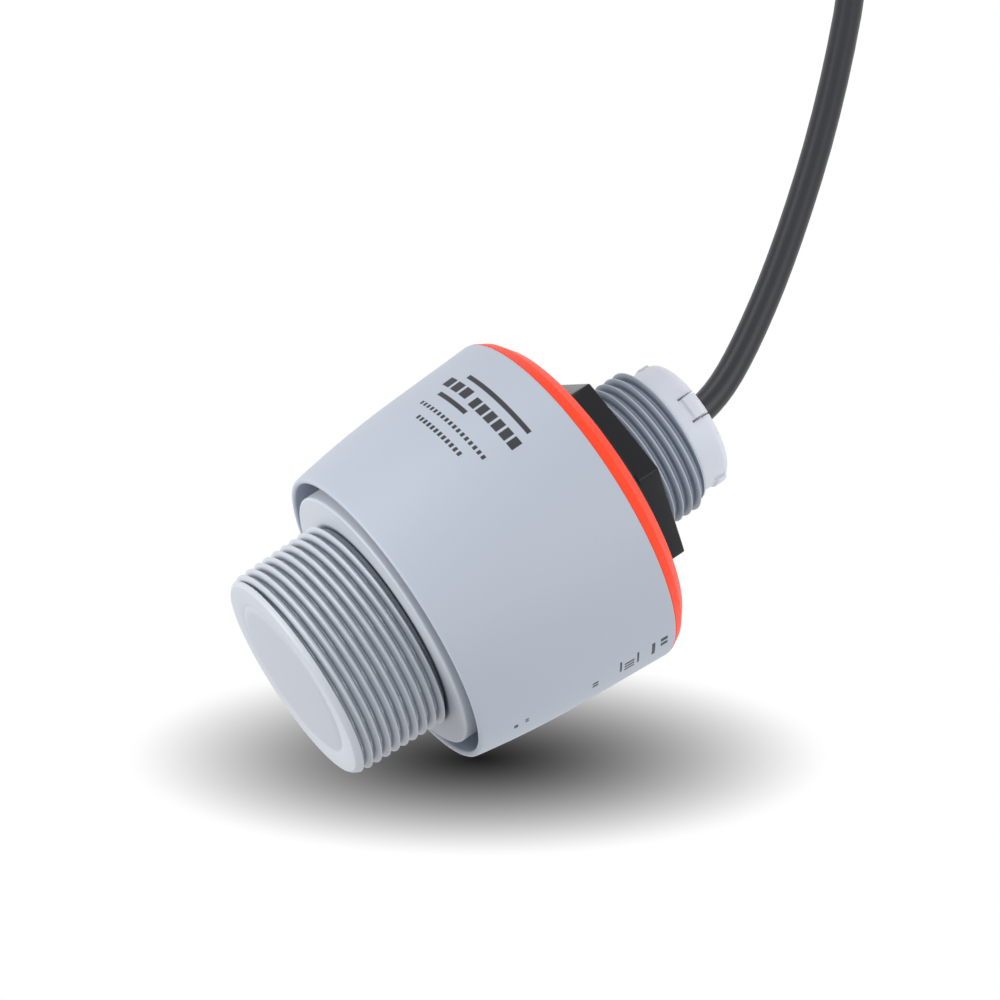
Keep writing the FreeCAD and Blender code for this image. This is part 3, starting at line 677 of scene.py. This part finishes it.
@dataclass(frozen=True)
class HelicalThread:
    """Right-handed moulded thread: straight flanks with rounded crests and roots.

    Args:
        pitch: distance between crests, in millimetres.
        depth: height of the ridges, in millimetres.
        low: height where the thread starts.
        high: height where it ends.
        first_crest: height of a crest at the angle start_angle.
        start_angle: that angle, in degrees.
        fade_low: length over which the ridges grow at the low end.
        crest_round: half the part of the pitch that a crest's rounding takes.
        root_round: the same for a root.
        per_pitch: circles of the mesh in each pitch.
    """

    pitch: float
    depth: float
    low: float
    high: float
    first_crest: float
    start_angle: float
    fade_low: float
    crest_round: float = 0.08
    root_round: float = 0.10
    per_pitch: int = 16

    def levels(self) -> list[float]:
        """Heights at which the surface needs a circle."""
        count = round((self.high - self.low) / self.pitch * self.per_pitch)
        return [self.low + (self.high - self.low) * index / count for index in range(count + 1)]

    def holds(self, z: float, radius: float, crest: float) -> bool:
        """Whether a point lies on the thread's crest wall, given the crest radius at its height."""
        return self.low - TOUCH <= z <= self.high + TOUCH and abs(radius - crest) < TOUCH

    def cut(self, z: float, angle: float) -> float:
        """Depth below the crest.

        Args:
            z: height in millimetres.
            angle: place round the axis, in radians.

        Returns:
            The depth in millimetres.
        """
        turn = (angle - math.radians(self.start_angle)) / (2.0 * math.pi)
        phase = (z - self.first_crest) / self.pitch - turn
        off = abs(phase - round(phase))
        full = 0.5 - (self.crest_round + self.root_round) / 2.0
        if off < self.crest_round:
            share = off * off / (2.0 * self.crest_round)
        elif off < 0.5 - self.root_round:
            share = off - self.crest_round / 2.0
        else:
            share = full - (0.5 - off) ** 2 / (2.0 * self.root_round)
        return self.depth * share / full * smoothstep((z - self.low) / self.fade_low)


@dataclass
class AntennaBody:
    """Antenna moulding: domed disc, rim, tapered thread, relief, shoulder and hidden barrel.

    Args:
        thread: ridges of the process thread.
        start_chamfer: depth of the bevel at the thread's start, in millimetres.
        start_chamfer_length: length of that bevel along the axis.
        dome_rise: how far the face bends back at dome_r.
        dome_r: radius up to which the face is domed.
        dome_steps: radii of the dome's circles.
        disc_edge: step between the disc and the rim.
        rim_round: rounding of the rim's outer edge.
        rim_turns: places on that rounding, in radians.
        relief_depth: depth of the groove behind the thread.
        relief_round: rounding at the groove's foot.
        shoulder_round: rounding of the shoulder's edge.
        barrel_r: outer radius of the barrel.
        barrel_bore_r: its bore, down to floor_z.
        floor_z: floor of that bore.
        cavity_r: radius of the cavity in the thread.
        wall: thickness of the face.
    """

    thread: HelicalThread = field(default_factory=lambda: HelicalThread(
        pitch=2.2087, depth=1.6, low=RIM_Z + 0.5, high=THREAD_END_Z, first_crest=1.35,
        start_angle=180.0, fade_low=1.1))
    start_chamfer: float = 0.95
    start_chamfer_length: float = 1.9
    dome_rise: float = 0.4
    dome_r: float = 16.4
    dome_steps: tuple[float, ...] = (0.0, 4.0, 8.0, 11.0, 13.5, 15.4)
    disc_edge: tuple[Point2, ...] = ((16.2, 0.42), (16.7, 0.53), (17.1, 0.68), (17.4, 0.82),
                                     (17.7, 0.84), (18.1, 0.70), (18.7, RIM_Z))
    rim_round: float = 0.5
    rim_turns: tuple[float, ...] = (0.0, 0.3, 0.6, 0.9, 1.2)
    relief_depth: float = 1.9
    relief_round: float = 0.25
    shoulder_round: float = 0.6
    barrel_r: float = 28.1
    barrel_bore_r: float = 24.5
    floor_z: float = 24.2
    cavity_r: float = 19.5
    wall: float = 3.2

    def crest(self, z: float) -> float:
        """Crest radius at a height."""
        return PROCESS_CREST_R + (z - RIM_Z) * PROCESS_TAPER

    def profile(self) -> list[Point2]:
        """Outline of the moulding.

        Returns:
            Closed outline from the middle of the face round to the cavity, as radius and height.
        """
        face = [(r, self.dome_rise * (r / self.dome_r) ** 2) for r in self.dome_steps]
        face += self.disc_edge
        middle = self.crest(RIM_Z) - self.start_chamfer - self.rim_round
        face += [(middle + self.rim_round * math.sin(turn), RIM_Z + self.rim_round * (1 - math.cos(turn)))
                 for turn in self.rim_turns]
        ridge = [(self.crest(z), z) for z in self.thread.levels()]
        root_r = self.crest(THREAD_END_Z) - self.relief_depth
        back = outline([Corner(root_r, THREAD_END_Z), Corner(root_r, SHOULDER_Z, self.relief_round),
                        Corner(SHOULDER_R, SHOULDER_Z, self.shoulder_round), Corner(SHOULDER_R, WEB_Z),
                        Corner(self.barrel_r, WEB_Z), Corner(self.barrel_r, BARREL_TOP_Z),
                        Corner(self.barrel_bore_r, BARREL_TOP_Z), Corner(self.barrel_bore_r, self.floor_z),
                        Corner(self.cavity_r, self.floor_z), Corner(self.cavity_r, self.wall)])
        return face + ridge + back + [(0.0, self.wall)]

    def warp(self, radius: float, z: float, angle: float) -> float:
        """Sinks the thread zone by the ridges' shape and its start by the chamfer.

        Args:
            radius, z: the point's radius and height, in millimetres.
            angle: its place round the axis, in radians.

        Returns:
            Its new radius.
        """
        if not self.thread.holds(z, radius, self.crest(z)):
            return radius
        rise = (z - RIM_Z) * self.start_chamfer / self.start_chamfer_length
        bevelled = self.crest(RIM_Z) - self.start_chamfer + rise
        return min(radius - self.thread.cut(z, angle), bevelled)

    def build(self) -> list[bpy.types.Object]:
        """Makes the piece that stands for the CAD node."""
        obj = Lathe("antenna_body_moulded", self.profile(), warp=self.warp, smooth=THREAD_SMOOTH).build()
        return [put(obj, Slot.ANTENNA, Body.HOUSING, "antenna_body")]


@dataclass
class HousingSkirt:
    """Bell-shaped shell with a thin rounded lip and a web inside.

    Args:
        lip_r: outer radius of the lip.
        lip_wall: its thickness.
        lip_turns: places on its rounding, in radians.
        belly: three points of the outer arc.
        arc_parts: parts of that arc in the mesh.
        top_r: outer radius of the upper edge.
        top_round: rounding of that edge.
        gasket_r: outer radius of the gasket's step.
        mouth_r: bore that takes the cover.
        mouth_z: floor of that bore.
        inner: points of the inner wall, from the mouth down.
        web_r: hole of the web.
        web_top_z: upper side of the web.
        web_gap: width between the lip's wall and the web's foot.
        web_round: rounding of that foot.
    """

    lip_r: float = 34.05
    lip_wall: float = 1.4
    lip_turns: tuple[float, ...] = (0.0, 0.5, 1.0, math.pi / 2.0, 2.1, 2.6)
    belly: tuple[Point2, ...] = ((34.05, 24.4), (35.95, 36.7), (37.2, 49.7))
    arc_parts: int = 16
    top_r: float = 38.5
    top_round: float = 0.35
    gasket_r: float = 37.65
    mouth_r: float = 36.2
    mouth_z: float = 62.1
    inner: tuple[Point2, ...] = ((35.6, 62.1), (34.9, 49.7), (33.65, 36.7), (33.65, 34.6))
    web_r: float = 28.2
    web_top_z: float = 34.6
    web_gap: float = 0.7
    web_round: float = 0.4

    def outer(self, share: float) -> Point2:
        """Point of the shell's outer arc through the three belly points.

        Args:
            share: part of the way from the lowest point to the highest.

        Returns:
            Its radius and height.
        """
        (r0, z0), (r1, z1), (r2, z2) = self.belly
        z = z0 + (z2 - z0) * share
        chord = r0 + (r2 - r0) * share
        middle = (z1 - z0) / (z2 - z0)
        rise = (r1 - (r0 + (r2 - r0) * middle)) / (4.0 * middle * (1.0 - middle))
        return chord + 4.0 * rise * share * (1.0 - share), z

    def profile(self) -> list[Point2]:
        """Outline of the shell and its web.

        Returns:
            Closed outline from the lip up and back down inside, as radius and height.
        """
        nose = self.lip_wall / 2.0
        inner_lip = self.lip_r - self.lip_wall
        lip = [(inner_lip + nose - nose * math.cos(turn), LIP_Z + nose - nose * math.sin(turn))
               for turn in self.lip_turns]
        side = [self.outer(index / self.arc_parts) for index in range(self.arc_parts + 1)]
        top = outline([Corner(*side[-1]), Corner(self.top_r, SKIRT_TOP_Z, self.top_round),
                       Corner(self.gasket_r, SKIRT_TOP_Z), Corner(self.gasket_r, GASKET_Z),
                       Corner(self.mouth_r, GASKET_Z), Corner(self.mouth_r, self.mouth_z),
                       *(Corner(*point) for point in self.inner),
                       Corner(self.web_r, self.web_top_z), Corner(self.web_r, WEB_Z),
                       Corner(inner_lip + self.web_gap, WEB_Z, self.web_round)])
        return lip + side + top[1:]

    def build(self) -> list[bpy.types.Object]:
        """Makes the piece that stands for the CAD node."""
        obj = Lathe("housing_skirt_moulded", self.profile()).build()
        return [put(obj, Slot.SHELL, Body.HOUSING, "housing_skirt")]


@dataclass
class TopStack:
    """Coloured ring, cover with its threaded neck, and washer.

    Args:
        thread: ridges of the neck thread.
        ring_hole_r: inner radius of the ring.
        ring_foot: lower outer corner of the ring.
        ring_bend: corner between its side and its slope.
        ring_crown: upper outer corner.
        spigot: outside and inside radius of the cover's spigot, at the mouth of the skirt.
        spigot_z: its lower edge.
        rise_r, rise_round: radius of the cover inside the ring and rounding of its upper edge.
        seat_r, seat_round: outer radius of the washer's seat and rounding of its edge.
        top_chamfer: width of the bevel at the neck's upper end.
        gland_r, gland_z: radius and floor of the hole for the cable's seal.
        passage_r: radius of the hole for the cable below it.
        ceiling: points of the cover's inner side, from the passage outwards.
        cover_segments: steps round the cover's axis.
        washer_r: outer radius of the washer.
        washer_round: rounding of its edges.
        washer_segments: steps round the washer's axis.
    """

    thread: HelicalThread = field(default_factory=lambda: HelicalThread(
        pitch=2.309, depth=1.48, low=SEAT_Z + 0.1, high=NECK_TOP_Z - 0.7, first_crest=95.35,
        start_angle=180.0, fade_low=0.6, crest_round=0.12, root_round=0.22, per_pitch=20))
    ring_hole_r: float = 34.0
    ring_foot: Corner = Corner(38.45, SKIRT_TOP_Z, 0.12)
    ring_bend: Corner = Corner(37.25, 72.4, 0.2)
    ring_crown: Corner = Corner(34.6, RING_TOP_Z, 0.2)
    spigot: Point2 = (36.1, 33.4)
    spigot_z: float = 62.3
    rise_r: float = 33.95
    rise_round: float = 0.3
    seat_r: float = 24.2
    seat_round: float = 0.4
    top_chamfer: float = 1.4
    gland_r: float = 12.6
    gland_z: float = 88.6
    passage_r: float = 9.5
    ceiling: tuple[Point2, ...] = ((9.5, 74.8), (21.6, 74.8), (30.8, SKIRT_TOP_Z), (33.4, 67.6))
    cover_segments: int = 224
    washer_r: float = 23.7
    washer_round: float = 0.3
    washer_segments: int = 128

    def ring(self) -> bpy.types.Object:
        """Ring with a leaning side and a sloping top."""
        corners = [Corner(self.ring_hole_r, SKIRT_TOP_Z), self.ring_foot, self.ring_bend,
                   self.ring_crown, Corner(self.ring_hole_r, RING_TOP_Z)]
        obj = Lathe("color_ring_moulded", outline(corners)).build()
        return put(obj, Slot.RING, Body.HOUSING, "color_ring")

    def warp(self, radius: float, z: float, angle: float) -> float:
        """Sinks the neck by the ridges' shape."""
        return radius - self.thread.cut(z, angle) if self.thread.holds(z, radius, NECK_R) else radius

    def cover(self) -> bpy.types.Object:
        """Cover, spigot and threaded neck in one moulding.

        Returns:
            The piece that stands for the CAD node.
        """
        outside, inside = self.spigot
        low = outline([Corner(inside, self.spigot_z), Corner(outside, self.spigot_z),
                       Corner(outside, GASKET_Z), Corner(self.rise_r, GASKET_Z),
                       Corner(self.rise_r, RING_TOP_Z, self.rise_round),
                       Corner(self.seat_r, SEAT_Z, self.seat_round), Corner(NECK_R, SEAT_Z)])
        neck = [(NECK_R, z) for z in self.thread.levels()]
        top = outline([Corner(NECK_R - self.top_chamfer, NECK_TOP_Z), Corner(self.gland_r, NECK_TOP_Z),
                       Corner(self.gland_r, self.gland_z), Corner(self.passage_r, self.gland_z),
                       *(Corner(*point) for point in self.ceiling)])
        obj = Lathe("top_cover_moulded", low + neck + top, self.cover_segments, self.warp,
                    THREAD_SMOOTH).build()
        return put(obj, Slot.SHELL, Body.HOUSING, "top_cover")

    def washer(self) -> bpy.types.Object:
        """Flat washer on the nut's seat."""
        corners = [Corner(NECK_R + PLAY, SEAT_Z), Corner(self.washer_r, SEAT_Z, self.washer_round),
                   Corner(self.washer_r, NUT_Z, self.washer_round), Corner(NECK_R + PLAY, NUT_Z)]
        obj = Lathe("nut_washer_moulded", outline(corners), self.washer_segments).build()
        return put(obj, Slot.NUT, Body.WASHER, "nut_washer")

    def build(self) -> list[bpy.types.Object]:
        """Makes all pieces of the stack."""
        return [self.ring(), self.cover(), self.washer()]


@dataclass
class LockNut:
    """Hexagon nut with softened edges and chamfered bore.

    Args:
        flats: width across the flats, in millimetres.
        bore_r: radius of the bore.
        chamfer: width of the bore's bevels.
        edge: radius of the softened edges.
        edge_steps: parts of that rounding.
        edge_angle: least angle of an edge that is softened, in degrees.
        smooth: largest angle between faces that is shaded smooth, in degrees.
        corner_angle: place of a corner round the axis, in degrees.
        segments: steps round the axis, as many on each side.
    """

    flats: float = 41.0
    bore_r: float = NECK_R + PLAY
    chamfer: float = 0.6
    edge: float = 0.35
    edge_steps: int = 3
    edge_angle: float = 40.0
    smooth: float = 25.0
    corner_angle: float = 11.0
    segments: int = 96

    def warp(self, radius: float, z: float, angle: float) -> float:
        """Presses the outside flat on its six sides, with a corner on X."""
        if radius < self.flats / 2.0:
            return radius
        return self.flats / 2.0 / math.cos(angle % SIDE_TURN - SIDE_TURN / 2.0)

    def build(self) -> list[bpy.types.Object]:
        """Spins the nut, presses its flats, turns it into place and softens its edges.

        Returns:
            The piece that stands for the CAD node.
        """
        corner_r = self.flats / 2.0 / math.cos(SIDE_TURN / 2.0)
        profile = [(self.bore_r + self.chamfer, NUT_Z), (self.bore_r, NUT_Z + self.chamfer),
                   (self.bore_r, NUT_TOP_Z - self.chamfer), (self.bore_r + self.chamfer, NUT_TOP_Z),
                   (corner_r, NUT_TOP_Z), (corner_r, NUT_Z)]
        obj = Lathe("lock_nut_moulded", profile, self.segments, self.warp).build()
        obj.data.transform(Matrix.Rotation(math.radians(self.corner_angle), 4, "Z"))
        bevel = obj.modifiers.new("edges", "BEVEL")
        bevel.width = self.edge * MM
        bevel.segments = self.edge_steps
        bevel.angle_limit = math.radians(self.edge_angle)
        bpy.ops.object.modifier_apply(modifier=bevel.name)
        bpy.ops.object.shade_smooth_by_angle(angle=math.radians(self.smooth), keep_sharp_edges=False)
        return [put(obj, Slot.NUT, Body.NUT, "lock_nut")]


@dataclass
class Cable:
    """The fixed cable: given route, folded turns and last stretch, as one curve.

    Args:
        start_z: height in the neck where the cable begins.
        columns, rows: turns of the hank side by side and on top of each other.
        width: width of the hank.
        run: length of its straight stretches.
        centre_y: middle of the hank.
        low_z: gap between the floor and the lowest turns, which the ties pass through.
        sleeve_wall: wall of the tail's sleeve.
        tail_angles: places of the tail's points round the far end, in degrees.
        tail_end: last point, inwards from the outermost turn and from the middle of the far end.
        arc_steps: parts of each half turn.
    """

    start_z: float = 82.6
    columns: int = 3
    rows: int = 6
    width: float = 76.0
    run: float = 35.0
    centre_y: float = 227.0
    low_z: float = 0.8
    sleeve_wall: float = 0.45
    tail_angles: tuple[float, ...] = (150.0, 125.0, 100.0, 75.0, 50.0, 25.0, 0.0)
    tail_end: Point2 = (4.0, -14.3)
    arc_steps: int = 8

    @property
    def turn_r(self) -> float:
        """Radius of the outermost turns' centreline at the hank's ends."""
        return self.width / 2.0 - CABLE_D / 2.0

    @property
    def near_y(self) -> float:
        """Middle of the near round end."""
        return self.centre_y - self.run / 2.0

    @property
    def far_y(self) -> float:
        """Middle of the far round end."""
        return self.centre_y + self.run / 2.0

    def route(self) -> list[Point3]:
        """Way from inside the neck, over and down to the hank.

        Returns:
            Its points, in millimetres.
        """
        outer_r = self.width / 2.0
        lane_x = -self.turn_r
        lane_z = self.low_z + CABLE_D / 2.0
        touch_y = self.near_y - math.sqrt((outer_r + CABLE_D / 2.0) ** 2 - self.turn_r ** 2)
        return [(0.0, 0.0, self.start_z), (0.02, 0.0, 93.9), (0.0, 0.0, 107.6), (0.0, 5.1, 120.3),
                (0.0, 19.0, 142.3), (0.0, 41.5, 170.8), (-1.0, 70.0, 199.0), (-4.0, 101.0, 209.0),
                (-9.0, 128.0, 194.0), (-15.0, 139.5, 164.0), (-21.0, 142.2, 132.0), (-27.0, 142.6, 99.0),
                (-32.5, 142.4, 66.0), (lane_x, 142.2, 30.2), (lane_x, touch_y - 35.4, lane_z + 9.5),
                (lane_x, touch_y - 18.9, lane_z), (lane_x, touch_y, lane_z)]

    def seats(self) -> list[Point2]:
        """Seats of the turns in winding order: across a layer, then back over it.

        Returns:
            Radius and height of each turn.
        """
        seats = []
        inner_r = self.turn_r - (self.columns - 1) * CABLE_D
        for row in range(self.rows):
            columns = range(self.columns) if row % 2 else reversed(range(self.columns))
            for column in columns:
                seats.append((inner_r + column * CABLE_D, self.low_z + (row + 0.5) * CABLE_D))
        return seats

    def hank(self) -> list[Point3]:
        """Folded turns; each turn steps over to its next seat round the near end.

        Returns:
            Their points, in millimetres.
        """
        points = []
        seats = self.seats()
        # The curve runs inside the points of an arc by this factor
        pull = 0.75 + 0.25 * math.cos(math.pi / self.arc_steps)
        for index, (radius, z) in enumerate(seats):
            after = seats[index + 1] if index + 1 < len(seats) else (radius, z)
            for step in range(self.arc_steps + 1):
                turn = math.pi - math.pi * step / self.arc_steps
                own_r = radius / (pull if 0 < step < self.arc_steps else 1.0)
                points.append((own_r * math.cos(turn), self.far_y + own_r * math.sin(turn), z))
            for step in range(self.arc_steps + 1):
                turn = -math.pi * step / self.arc_steps
                share = smoothstep(step / self.arc_steps)
                own_r = radius + (after[0] - radius) * share
                own_r /= pull if 0 < step < self.arc_steps else 1.0
                points.append((own_r * math.cos(turn), self.near_y + own_r * math.sin(turn),
                               z + (after[1] - z) * share))
        return points

    def tail(self) -> list[Point3]:
        """Last stretch, lying on top of the hank.

        Returns:
            Its points, in millimetres.
        """
        tail_z = self.low_z + (self.rows + 0.5) * CABLE_D + self.sleeve_wall
        points = []
        for angle in self.tail_angles:
            turn = math.radians(angle)
            points.append((self.turn_r * math.cos(turn), self.far_y + self.turn_r * math.sin(turn), tail_z))
        points.append((self.turn_r - self.tail_end[0], self.far_y + self.tail_end[1], tail_z))
        return points

    def build(self) -> list[bpy.types.Object]:
        """Returns:
            The cable, which stands for its three CAD nodes.
        """
        points = self.route() + self.hank() + self.tail()
        curve = bpy.data.curves.new("cable", "CURVE")
        curve.dimensions = "3D"
        spline = curve.splines.new("NURBS")
        spline.points.add(len(points) - 1)
        for point, place in zip(spline.points, points):
            point.co = (place[0] * MM, place[1] * MM, place[2] * MM, 1.0)
        spline.order_u = 3
        spline.use_endpoint_u = True
        spline.resolution_u = 5
        curve.bevel_depth = CABLE_D / 2.0 * MM
        curve.bevel_resolution = 5
        curve.use_fill_caps = True
        obj = bpy.data.objects.new("cable", curve)
        bpy.context.collection.objects.link(obj)
        put(obj, Slot.CABLE, Body.HOUSING, "cable_tube", "cable_hank", "cable_tail")
        return [obj]


@dataclass(frozen=True)
class Lamp:
    """Round area lamp that is aimed at the sensor.

    Args:
        name: object name.
        offset: how far right of, above and in front of the sensor the camera sees it, in metres.
        size: width in metres.
        power: power in watts.
    """

    name: str
    offset: Point3
    size: float
    power: float


@dataclass(frozen=True)
class Studio:
    """Camera, lights and stage.

    Args:
        lens: focal length in millimetres.
        film: width of the camera's picture in millimetres.
        eye: camera position in millimetres.
        right, up: camera axes in the row frame.
        target: place that the lamps are aimed at, in metres.
        lamps: the area lamps.
        world_turn: upward part of a direction at which the world's light starts and ends to rise.
        world_light: the world's strength on the object, from below and from above.
        card_distance: distance of the shadow card from the camera, in metres.
        shadow_centre: middle of the shadow from the picture's middle, as shares of its width.
        shadow_half: half its width and height, as shares too.
        card_reach: size of the card against that of the shadow.
        shadow_depth, shadow_soft: darkness of the shadow's middle and softness of its border.
        floor_centre: middle of the floor, in metres.
        floor_half: half its width.
        floor_fade: distances from its middle between which it fades out.
    """

    lens: float = 126.0
    film: float = 36.0
    eye: Point3 = (-705.88, 7.68, -137.86)
    right: Point3 = (-0.22477, -0.54441, 0.80814)
    up: Point3 = (-0.14588, 0.83882, 0.52450)
    target: Point3 = (0.0, 0.0, 0.05)
    lamps: tuple[Lamp, ...] = (Lamp("key", (-0.5, 1.1, 0.5), 0.7, 2.4),
                               Lamp("fill", (0.8, -0.1, 0.9), 1.0, 3.8),
                               Lamp("face", (-0.62, -0.02, 0.2), 0.35, 2.7))
    world_turn: tuple[float, float] = (-0.8, 0.1)
    world_light: tuple[float, float] = (0.42, 0.82)
    card_distance: float = 1.5
    shadow_centre: tuple[float, float] = (-0.022, -0.258)
    shadow_half: tuple[float, float] = (0.355, 0.100)
    card_reach: float = 1.05
    shadow_depth: float = 0.957
    shadow_soft: float = 0.1
    floor_centre: Point3 = (0.0, 0.12, -0.0002)
    floor_half: float = 1.2
    floor_fade: tuple[float, float] = (0.24, 0.60)

    def axes(self) -> Matrix:
        """Camera axes as columns."""
        right = Vector(self.right).normalized()
        back = right.cross(Vector(self.up)).normalized()
        up = back.cross(right)
        return Matrix((right, up, back)).transposed()

    def view(self) -> Matrix:
        """Place and direction of the camera."""
        return Matrix.Translation(Vector(self.eye) * MM) @ self.axes().to_4x4()

    def camera(self) -> None:
        """Places the camera of the photo."""
        data = bpy.data.cameras.new("camera")
        data.lens = self.lens
        data.sensor_width = self.film
        data.clip_start = 0.01
        data.clip_end = 20.0
        obj = bpy.data.objects.new("camera", data)
        bpy.context.collection.objects.link(obj)
        obj.matrix_world = self.view()
        bpy.context.scene.camera = obj

    def light(self, lamp: Lamp) -> None:
        """Places a lamp.

        Args:
            lamp: its place, size and power.
        """
        data = bpy.data.lights.new(lamp.name, "AREA")
        data.shape = "DISK"
        data.size = lamp.size
        data.energy = lamp.power
        obj = bpy.data.objects.new(lamp.name, data)
        bpy.context.collection.objects.link(obj)
        away = self.axes() @ Vector(lamp.offset)
        obj.location = Vector(self.target) + away
        obj.rotation_mode = "QUATERNION"
        obj.rotation_quaternion = away.to_track_quat("Z", "Y")

    def world(self) -> None:
        """White behind the object, softer light on it and least from below the antenna face."""
        world = bpy.data.worlds.new("studio")
        bpy.context.scene.world = world
        world.use_nodes = True
        board = NodeBoard(world.node_tree)
        side = board.add("ShaderNodeSeparateXYZ")
        board.feed(side.inputs[0], board.add("ShaderNodeTexCoord").outputs["Generated"])
        strength = board.ramp(side.outputs["Z"], *self.world_turn, *self.world_light)
        light = world.node_tree.nodes["Background"]
        seen = board.add("ShaderNodeBackground")
        for background, power in ((light, strength), (seen, 1.0)):
            board.feed(background.inputs["Color"], WHITE)
            board.feed(background.inputs["Strength"], power)
        rays = board.add("ShaderNodeLightPath").outputs
        shown = board.math("MAXIMUM", rays["Is Camera Ray"], rays["Is Glossy Ray"])
        mix = board.add("ShaderNodeMixShader")
        board.feed(mix.inputs[0], board.math("MAXIMUM", shown, rays["Is Transmission Ray"]))
        board.feed(mix.inputs[1], light.outputs[0])
        board.feed(mix.inputs[2], seen.outputs[0])
        board.feed(world.node_tree.nodes["World Output"].inputs[0], mix.outputs[0])

    def card(self, name: str, place: Matrix) -> tuple[bpy.types.Object, NodeBoard]:
        """Flat card of the stage.

        Args:
            name: name of the card and its material.
            place: takes a square of two metres round the origin to the card's place.

        Returns:
            The card and the board of its material.
        """
        obj = start_piece(name, bpy.ops.mesh.primitive_plane_add, size=2.0)
        obj.data.transform(place)
        material = bpy.data.materials.new(name)
        material.use_nodes = True
        obj.data.materials.append(material)
        return obj, NodeBoard(material.node_tree)

    def show(self, board: NodeBoard, share: bpy.types.NodeSocket, shader: bpy.types.Node) -> None:
        """Shows a card only to the camera and from its front.

        Args:
            board: board of the card's material.
            share: how much of the shader is seen.
            shader: what is seen.
        """
        front = board.math("SUBTRACT", 1.0, board.add("ShaderNodeNewGeometry").outputs["Backfacing"])
        only = board.math("MULTIPLY", board.add("ShaderNodeLightPath").outputs["Is Camera Ray"], front)
        mix = board.add("ShaderNodeMixShader")
        board.feed(mix.inputs[0], board.math("MULTIPLY", share, only))
        board.feed(mix.inputs[1], board.add("ShaderNodeBsdfTransparent").outputs[0])
        board.feed(mix.inputs[2], shader.outputs[0])
        board.feed(board.tree.nodes["Material Output"].inputs[0], mix.outputs[0])

    def shadow_card(self) -> None:
        """Card far behind the object that carries the soft oval shadow of the photo."""
        picture = self.film / self.lens * self.card_distance
        across, along = (middle * picture for middle in self.shadow_centre)
        width, height = (half * picture * self.card_reach for half in self.shadow_half)
        place = self.view() @ Matrix.Translation((across, along, -self.card_distance))
        obj, board = self.card("shadow_card", place @ Matrix.Diagonal((width, height, 1.0, 1.0)))
        centred = board.add("ShaderNodeVectorMath", operation="SUBTRACT")
        board.feed(centred.inputs[0], board.add("ShaderNodeTexCoord").outputs["UV"])
        board.feed(centred.inputs[1], (0.5, 0.5, 0.0))
        distance = board.math("MULTIPLY", board.flat_length(centred.outputs[0]), 2.0 * self.card_reach)
        inward = board.math("SUBTRACT", 1.0, distance, clamp=True)
        raised = board.math("MULTIPLY", board.math("POWER", inward, 2.0), self.shadow_depth)
        depth = board.math("DIVIDE", raised, board.math("ADD", inward, self.shadow_soft))
        shown = board.math("POWER", board.math("SUBTRACT", 1.0, depth), DISPLAY_GAMMA)
        dark = board.add("ShaderNodeEmission")
        board.feed(dark.inputs["Strength"], 0.0)
        self.show(board, board.math("SUBTRACT", 1.0, shown), dark)

    def floor(self) -> None:
        """Ground at the standing height, seen only from above and fading out round the object."""
        scale = Matrix.Diagonal((self.floor_half, self.floor_half, 1.0, 1.0))
        obj, board = self.card("floor", Matrix.Translation(self.floor_centre) @ scale)
        away = board.add("ShaderNodeVectorMath", operation="DISTANCE")
        board.feed(away.inputs[0], board.add("ShaderNodeTexCoord").outputs["Object"])
        board.feed(away.inputs[1], self.floor_centre)
        ground = board.add("ShaderNodeBsdfDiffuse")
        board.feed(ground.inputs["Color"], FLOOR_COLOR)
        self.show(board, board.ramp(away.outputs["Value"], *self.floor_fade, 1.0, 0.0), ground)

    def build(self) -> None:
        """Sets up the whole studio."""
        bpy.context.scene.view_settings.view_transform = "Standard"
        self.world()
        for lamp in self.lamps:
            self.light(lamp)
        self.shadow_card()
        self.floor()


def finish_frame() -> None:
    """Gives every CAD node that still shows its slot's material."""
    slots = {part["node"]: Slot(part["material_slot"]) for part in frame["record"]["subparts"]}
    for name, obj in frame["nodes"].items():
        if obj.hide_render:
            continue
        obj.data.materials.clear()
        obj.data.materials.append(MATERIALS[slots[name]])
        select_only(obj)
        bpy.ops.object.shade_smooth_by_angle(angle=math.radians(CAD_SMOOTH))
        log.info("%s keeps its CAD form, in %s", name, slots[name].value)


MATERIALS: Materials


def main() -> None:
    global MATERIALS
    logging.basicConfig(level=logging.INFO, format="%(name)s: %(message)s")
    studio = Studio()
    studio.camera()
    MATERIALS = Materials()
    for part in (Cable(), AntennaBody(), HousingSkirt(), TopStack(), LockNut()):
        for piece in part.build():
            log.info("%s is modelled", piece.name)
    finish_frame()
    studio.build()


if __name__ == "__main__":
    main()
